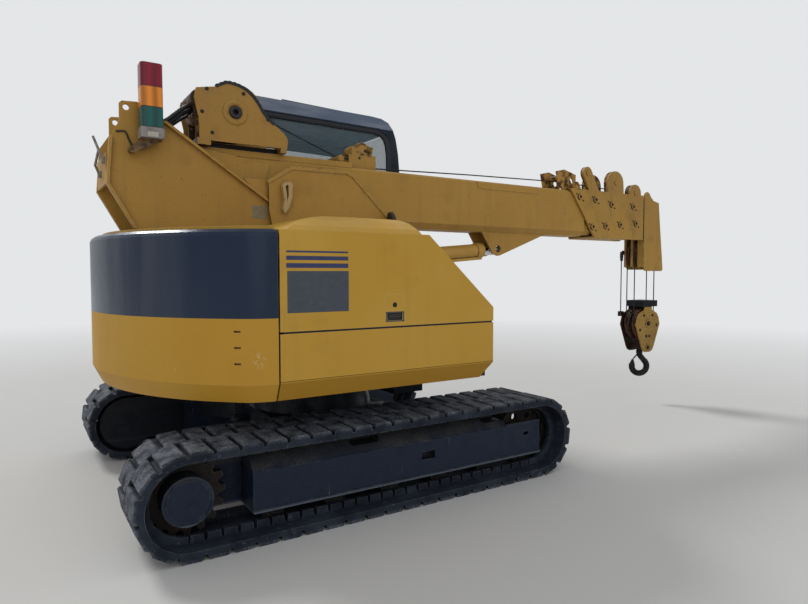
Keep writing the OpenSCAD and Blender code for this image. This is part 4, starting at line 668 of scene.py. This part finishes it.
cab_enamel = cab_shell_enamel()
finish_nodes(cab_enamel, "cab_shell", "cab_door")
tinted_glass, tree, out = blank_material("tinted_glass")
surface(tree, out, {"Base Color": linear("#5E7680"), "Roughness": 0.08, "IOR": 1.5, "Alpha": 0.3})
finish_nodes(tinted_glass, "cab_glass", "door_glass")
finish_nodes(black_plastic, "side_mirror", "cab_controls")
shell_low, shell_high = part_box("cab_shell")
foot, top = shell_low.z, shell_high.z
right_pane = [(-0.480, foot + 0.740), (0.815, foot + 0.740), (0.812, top - 0.330), (0.796, top - 0.220),
              (0.762, top - 0.165), (0.700, top - 0.138), (-0.440, top - 0.118), (-0.480, top - 0.150)]
door_pane = [(-0.190, foot + 0.620), (0.815, foot + 0.620), (0.792, top - 0.420), (0.752, top - 0.210),
             (0.716, top - 0.180), (-0.190, top - 0.158)]
seal_rubber = plain_finish("seal_rubber", "#0D131C", "#1A212B", 0.6, grain=80.0)
right_seal = seal(smooth_outline(right_pane, 0.03), 0.028, 0.016, right_y - 0.004, right_y + 0.011)
door_seal = seal(smooth_outline(door_pane, 0.03), 0.024, 0.014, left_y + 0.004, left_y - 0.011)
new_piece("right_window_seal", *right_seal, seal_rubber, "upper", "black_plastic", True)
new_piece("door_window_seal", *door_seal, seal_rubber, "door", "black_plastic", True)

# Hood gasket: a black foam-rubber strip glued on the lower panel's top edge, along the side and round the
# front, which the closed hood comes down to; it is a seal and also the painted shade that fills the seam.
panel_low, panel_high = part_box("lower_panel_right")
strip_front, strip_foot = panel_high.x - 0.004, panel_high.z - 0.012
strip_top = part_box("hood_right")[0].z - 0.0005
side_strip = plate(rectangle(panel_low.x + 0.02, strip_foot, strip_front, strip_top, 0.001),
                   panel_low.y + 0.008, panel_low.y + 0.022)
front_strip = plate(rectangle(panel_high.x - 0.022, strip_foot, strip_front, strip_top, 0.001),
                    panel_low.y + 0.012, panel_high.y - 0.03)
new_piece("hood_seal_and_seam_shade", *joined(side_strip, front_strip), seal_rubber, "upper", "black_plastic")


# Seat: two crowned cushions of black vinyl over foam, a seat pad and a backrest. They show only
# through the glass and the open door.
def cushion(low, high, crown, rows=23, cols=48, power=0.35):
    """A crowned pad: sines and cosines of two angles raised to a power, which squares the ball off,
    its top and bottom drawn in by crown times half the squared distance from the middle."""
    u = np.linspace(-np.pi / 2, np.pi / 2, rows + 2)[1:-1, None]
    v = np.arange(cols)[None, :] * 2 * np.pi / cols
    cu, su, cv, sv = [np.sign(t) * np.abs(t) ** power for t in (np.cos(u), np.sin(u), np.cos(v), np.sin(v))]
    x, y, z = cu * cv, cu * sv, su * np.ones_like(cv)
    z = z * (1 - crown * (x * x + y * y) / 2)
    unit = np.concatenate([np.stack([x, y, z], -1).reshape(-1, 3), [[0, 0, -1], [0, 0, 1]]])
    middle, half = (np.array(low) + high) / 2, (np.array(high) - low) / 2
    last, south, north = (rows - 1) * cols, rows * cols, rows * cols + 1
    faces = wrap(rows, cols) + [[(c + 1) % cols, c, south] for c in range(cols)]
    faces += [[last + c, last + (c + 1) % cols, north] for c in range(cols)]
    return unit * half + middle, faces


BACK_DEPTH, SEAT_HEIGHT = 0.11, 0.12
seat_vinyl = plain_finish("seat_vinyl", "#1D1F24", "#26282E", 0.6, grain=200.0, depth=0.001)
low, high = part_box("cab_seat")
seat_shape = cushion((low.x + BACK_DEPTH, low.y, low.z), (high.x, high.y, low.z + SEAT_HEIGHT), 0.25)
back_shape = cushion((low.x, low.y + 0.01, low.z + 0.02), (low.x + BACK_DEPTH, high.y - 0.01, high.z), 0.2)
seat_pad = new_piece("seat_cushion", *seat_shape, seat_vinyl, "upper", "seat_vinyl", True)
back_pad = new_piece("seat_backrest", *back_shape, seat_vinyl, "upper", "seat_vinyl", True)
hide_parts("cab_seat")
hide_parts("cab_seat")


# Boom head, hook block and winch fasteners: dark hex bolts and screws round each wear-pad boss, with a dark
# arc about the boss that is its painted shadow with oily grime, pin and crosshead nuts on the block, and the
# drum's hub rings.
def copies(points, faces, places):
    """The same small shape at many places: its points plus each place, its faces counted on."""
    many = (points[None, :, :] + np.asarray(places)[:, None, :]).reshape(-1, 3)
    step = len(points)
    return many, [[v + step * n for v in face] for n in range(len(places)) for face in faces]


def circle(sides, r, y):
    """Points at even angles on a circle about the Y axis."""
    a = np.arange(sides) * 2 * np.pi / sides
    return np.stack([r * np.cos(a), np.full(sides, y), r * np.sin(a)], -1)


def bolt(radius, height):
    """A hex head on a washer, its axis along -Y: a 12-sided disc and a six-sided prism."""
    points = np.concatenate([circle(12, 1.5 * radius, 0), circle(12, 1.5 * radius, -height * 0.25),
                             circle(6, radius, -height * 0.2), circle(6, radius, -height)])
    head = [[v + 24 for v in face] for face in wrap(2, 6)]
    return points, wrap(2, 12) + [list(range(12, 24))] + head + [list(range(30, 36)), list(range(11, -1, -1))]


def bolts_on_plate(name, places, face_y, radius, height, body, middle=0.0):
    """Bolts at XZ places on a plate's face at face_y right of the middle, and mirrored on the left."""
    points, faces = bolt(radius, height)
    shapes = []
    for side in (-1, 1):
        at = [(x, middle + side * face_y, z) for x, z in places]
        shapes.append(copies(points * [1, -side, 1], faces if side < 0 else flipped(faces), at))
    return new_piece(name, *joined(*shapes), bolt_steel, body, "bare_steel")


def boss_shadow_and_grime(x, z, side):
    """Painted shadow of a boss with oily grime: a flat band 1 mm wide, widened by 3 mm plus 9 mm times the
    cosine of the angle from its widest place behind, a gain that falls to nothing at the band's two ends."""
    a = np.radians(np.linspace(45, 335, 25))
    taper = np.sin((a - a[0]) * np.pi / (a[-1] - a[0])) ** 0.3
    reach = 0.0265 + (0.003 + 0.009 * np.maximum(np.cos(a - np.radians(200)), 0)) * taper
    inner, outer = [np.stack([x + r * np.cos(a), z + r * np.sin(a)], -1) for r in (0.0255, reach)]
    band = np.concatenate([outer, inner[::-1]])
    return plate(band, side * (PLATE_FACE + 0.0012), side * (PLATE_FACE - 0.0003))


def ring(x, z, y, profile, sides=48):
    """A turned ring about an axis along Y: (radius, y) pairs carried round in even steps."""
    a = np.arange(sides) * 2 * np.pi / sides
    r, h = np.array(profile).T
    across = y + np.repeat(h[:, None], sides, 1)
    points = np.stack([x + np.outer(r, np.cos(a)), across, z + np.outer(r, np.sin(a))], -1)
    return points.reshape(-1, 3), wrap(len(r), sides, True)


BOSS_FACE, PLATE_FACE = 0.1668, 0.1598  # distance from the middle plane
boss_shadow_grime = plain_finish("boss_shadow_grime", "#241A0F", "#3D2C18", 0.6, grain=120.0)
HEAD_PADS = [((2.584, 2.033), (2.760, 1.767), "boom"), ((2.795, 2.018), (2.941, 1.783), "tele_2"),
             ((3.022, 1.988), (3.152, 1.802), "tele_3"), ((3.342, 1.985), (3.386, 1.822), "tele_4")]
HEAD_LOBES = [(2.537, 2.125), (2.680, 2.253), (3.075, 2.193), (3.373, 2.119)]
SCREW_STEPS = [(-0.046, 0.022), (0.040, -0.034)]
for n, ((upper_pad, lower_pad, body), lobe) in enumerate(zip(HEAD_PADS, HEAD_LOBES), 1):
    bolts_on_plate(f"pad_bolts_{n}", [upper_pad, lower_pad], BOSS_FACE, 0.0095, 0.007, body)
    small = [(x + dx, z + dz) for x, z in (upper_pad, lower_pad) for dx, dz in SCREW_STEPS]
    bolts_on_plate(f"pad_screws_{n}", small + [lobe], PLATE_FACE, 0.0055, 0.006, body)
    # Each boss gets a dark arc: its painted shadow, with oily grime.
    dirt = [boss_shadow_and_grime(*at, side) for at in (upper_pad, lower_pad) for side in (-1, 1)]
    new_piece(f"pad_shadow_grime_{n}", *joined(*dirt), boss_shadow_grime, body, "bare_steel")
REEVE_Y, PIN_X = -0.020, 3.665  # the block's middle plane, and the X of its pins and the head pin
BLOCK_BOLTS = [(3.640, 0.692), (3.690, 0.692), (3.600, 0.905), (3.735, 0.905), (3.805, 0.800),
               (3.540, 0.760)]
bolts_on_plate("block_pin_nut", [(PIN_X, 0.821)], 0.1035, 0.017, 0.010, "block", REEVE_Y)
bolts_on_plate("block_bolts", BLOCK_BOLTS, 0.0968, 0.010, 0.008, "block", REEVE_Y)
bolts_on_plate("crosshead_nut", [(PIN_X, 0.576)], 0.1015, 0.015, 0.010, "block", REEVE_Y)
WINCH_FACE = 0.200
WINCH_BOLTS = [(-0.543, 2.460), (-0.800, 2.317), (-0.741, 2.197), (-0.386, 2.320), (-0.770, 2.457)]
bolts_on_plate("winch_bolts", WINCH_BOLTS, WINCH_FACE, 0.008, 0.004, "boom")
DRUM_X, DRUM_Z = -0.596, 2.338
for side, name in ((-1, "hub_ring_right"), (1, "hub_ring_left")):
    rim = [(0.042, 0.0), (0.042, side * 0.0035), (0.078, side * 0.0035), (0.080, 0.0)]
    points, faces = ring(DRUM_X, DRUM_Z, side * WINCH_FACE, rim)
    new_piece(name, points, faces if side > 0 else flipped(faces), winch_paint, "boom", "yellow_paint", True)


# Hoist rope: 10 mm steel wire rope, greased black. It runs from the drum under the guide and along
# the boom's top to the head, always taut; its turns lie side by side on the drum.
def tube(path, radius, sides=10):
    """A round tube: a circle at each path point, square to the path's direction there."""
    path = np.asarray(path, float)
    along = np.gradient(path, axis=0)
    along /= np.linalg.norm(along, axis=1, keepdims=True)
    ref = np.array([0.0, 1.0, 0.0]) if np.abs(along[:, 1]).max() < 0.95 else np.array([0.0, 0.0, 1.0])
    side = np.cross(along, ref)
    side /= np.linalg.norm(side, axis=1, keepdims=True)
    up = np.cross(side, along)
    a = (np.arange(sides) * 2 * np.pi / sides)[None, :, None]
    points = path[:, None, :] + radius * (np.cos(a) * side[:, None, :] + np.sin(a) * up[:, None, :])
    last = (len(path) - 1) * sides
    ends = [list(range(sides - 1, -1, -1)), list(range(last, last + sides))]
    return points.reshape(-1, 3), wrap(len(path), sides) + ends


ROPE_RADIUS, ROPE_PITCH, TURN_STEPS = 0.005, 0.011, 61
ROPE_PATH = [(-0.50, 0.0, 2.446), (-0.352, 0.0, 2.377), (0.186, 0.0, 2.179), (0.375, 0.0, 2.164),
             (0.479, 0.0, 2.118), (1.4, 0.0, 2.150), (2.425, 0.0, 2.176), (2.9, 0.0, 2.168),
             (3.28, 0.0, 2.150)]
turns = [(0.1405 + ROPE_RADIUS * (k % 2), -0.166 + ROPE_PITCH / 2 * k) for k in range(TURN_STEPS)]
wire_rope = plain_finish("wire_rope", "#17181A", "#2A2A2A", 0.5, 0.4, 300.0, 0.002)
finish_nodes(wire_rope, "rope_falls")
new_piece("hoist_rope", *tube(ROPE_PATH, ROPE_RADIUS), wire_rope, "boom", "wire_rope", True)
new_piece("drum_rope", *ring(DRUM_X, DRUM_Z, 0.0, turns + [(0.12, 0.164), (0.12, -0.166)], 64),
          wire_rope, "drum", "wire_rope", True)


# Rope anchor: a flat steel arm on the head pin, behind the far divider, swings with the falls and
# carries the forged wedge socket in which the rope's dead end is keyed.
def rounded_bar(start, end, half, y0, y1, n=9):
    """A flat link in the XZ plane: two half-circles round its ends joined by straight edges."""
    (x0, z0), (x1, z1) = start, end
    a = np.linspace(-np.pi / 2, np.pi / 2, n) + np.arctan2(z1 - z0, x1 - x0)
    far = np.stack([x1 + half * np.cos(a), z1 + half * np.sin(a)], -1)
    near = np.stack([x0 + half * np.cos(a + np.pi), z0 + half * np.sin(a + np.pi)], -1)
    return plate(np.concatenate([far, near]), y0, y1)


FALL_X, PIN_Z, PIN_HALF = 3.5067, 1.545, 0.014
SOCKET = [(-0.010, 0.010), (0.010, 0.010), (0.014, -0.030), (0.007, -0.085), (-0.007, -0.085),
          (-0.014, -0.030)]
pin_head = rectangle(PIN_X - PIN_HALF, PIN_Z - PIN_HALF, PIN_X + PIN_HALF, PIN_Z + PIN_HALF, 0.013)
anchor = joined(
    rounded_bar((PIN_X, PIN_Z), (FALL_X, PIN_Z), 0.022, 0.0755, 0.0835),
    plate(pin_head, 0.0595, 0.0900),
    plate([(FALL_X + x, PIN_Z + z) for x, z in SOCKET], 0.0840, 0.1060))
new_piece("rope_anchor", *anchor, bolt_steel, "block", "bare_steel")


# Winch dressing: black rubber trim pushed over the rim of each side plate, black caps in the drum
# bearings, and the hydraulic pipes from the motor back and down to the boom's foot.
def eased(points, step=0.01, soft=0.03):
    """A path through corner points, resampled at even steps and smoothed over a short length."""
    points = np.asarray(points, float)
    lengths = np.concatenate([[0], np.cumsum(np.linalg.norm(np.diff(points, axis=0), axis=1))])
    s = np.linspace(0, lengths[-1], max(4, int(lengths[-1] / step)))
    smooth = np.stack([np.interp(s, lengths, points[:, k]) for k in range(3)], -1)
    width = max(1, int(soft / step))
    kernel = np.ones(2 * width + 1) / (2 * width + 1)
    padded = np.concatenate([np.repeat(smooth[:1], width, 0), smooth, np.repeat(smooth[-1:], width, 0)])
    return np.stack([np.convolve(padded[:, k], kernel, "valid") for k in range(3)], -1)


def trim_strip(y0, y1):
    """Edge trim on a plate's rim: a section 20 mm deep carried along the rim's smoothed line on its
    outward normals, with a notch 4 mm deep across it at every fourth step."""
    line = eased([(DRUM_X + x, 0.0, DRUM_Z + z) for x, z in RIM], 0.007, 0.02)[:, [0, 2]]
    ahead = np.gradient(line, axis=0)
    ahead /= np.linalg.norm(ahead, axis=1, keepdims=True)
    outward = np.stack([-ahead[:, 1], ahead[:, 0]], -1)
    n = len(line)
    proud = np.where(np.arange(n) % 4 == 0, 0.008, 0.012)[:, None]
    rows = [np.insert(line + outward * reach, 1, y, axis=1)
            for reach, y in ((-0.008, y0), (proud, y0), (proud, y1), (-0.008, y1))]
    faces = wrap(4, n, True, False) + [[0, n, 2 * n, 3 * n], [4 * n - 1, 3 * n - 1, 2 * n - 1, n - 1]]
    return np.concatenate(rows), faces if y0 > y1 else flipped(faces)


RIM = [(-0.123, 0.140), (-0.052, 0.177), (0.010, 0.172), (0.066, 0.152), (0.112, 0.118), (0.147, 0.076),
       (0.172, 0.034), (0.200, -0.003), (0.255, -0.046)]  # from the drum's axis
TRIM_IN, TRIM_OUT, CAP_FACE = 0.1850, 0.2035, 0.2052  # distance from the middle plane
new_piece("winch_edge_trim", *joined(trim_strip(-TRIM_OUT, -TRIM_IN), trim_strip(TRIM_IN, TRIM_OUT)),
          seal_rubber, "boom", "black_plastic")
right_cap, left_cap = [
    ring(DRUM_X, DRUM_Z, side * CAP_FACE,
         [(0.016, 0.0), (0.016, side * 0.003), (0.034, side * 0.004), (0.038, 0.0)]) for side in (-1, 1)]
new_piece("drum_caps", *joined((right_cap[0], flipped(right_cap[1])), left_cap),
          black_plastic, "drum", "bare_steel", True)
PIPE_RUNS = [(-0.095, 0.013, 2.372, 2.250), (-0.060, 0.013, 2.345, 2.225),
             (-0.020, 0.010, 2.320, 2.205)]  # y, radius, height at the motor, height at the foot
for n, (y, radius, high, low) in enumerate(PIPE_RUNS, 1):
    run = eased([(-0.800, y, high), (-0.850, y, high), (-0.905, y, high - 0.040), (-0.985, y, low + 0.010),
                 (-1.060, y, low - 0.030), (-1.085, y, low - 0.090)], 0.008, 0.024)
    new_piece(f"winch_pipe_{n}", *tube(run, radius, 12), black_plastic, "boom", "black_plastic", True)

# Rope guide pins: three steel pin ends, oiled nearly black, which stand 3 mm out of the near side
# plate of the rope guide.
GUIDE_PINS = [(0.396, 2.226, 0.011), (0.348, 2.171, 0.009), (0.371, 2.199, 0.0055)]  # x, z, radius
pin_ends = [plate(rectangle(x - r, z - r, x + r, z + r, r * 0.98, 7), -0.0725, -0.0690)
            for x, z, r in GUIDE_PINS]
new_piece("guide_pins", *joined(*pin_ends), bolt_steel, "boom", "bare_steel")

# Lamp wiring: a thin black conduit clipped along the post plate, from the rear edge under the ear
# to the lamp's bracket.
clipped = POST_FACE - 0.006
wiring = eased([(-1.286, clipped, 2.134), (-1.233, clipped, 2.142), (-1.214, clipped, 2.090),
                (-1.190, clipped, 2.046), (-1.140, POST_FACE - 0.010, 2.050),
                (-1.110, POST_FACE - 0.035, 2.080)], 0.006, 0.018)
new_piece("lamp_conduit", *tube(wiring, 0.0045, 8), black_plastic, "upper", "black_plastic", True)

# Hook: black forged steel, rubbed; the luffing rod is hard chrome; the rail behind the post is
# galvanised bar and the rails on the cab's roof are painted bar.
hook_iron = rusty_steel("hook_iron", "#17161A", "#2C2018", "#120E0C", 0.35, 0.4)
finish_nodes(hook_iron, "hook")
finish_nodes(plain_finish("rod_chrome", "#C9CCCE", "#BFC2C4", 0.12, 1.0, 20.0, 0.0002), "luff_rod")
finish_nodes(plain_finish("galvanised_bar", "#8E8A83", "#6F675C", 0.5, 0.7, 50.0), "grab_rail")
finish_nodes(plain_finish("painted_bar", "#3B4048", "#565B62", 0.5, 0.0, 50.0), "roof_rails")
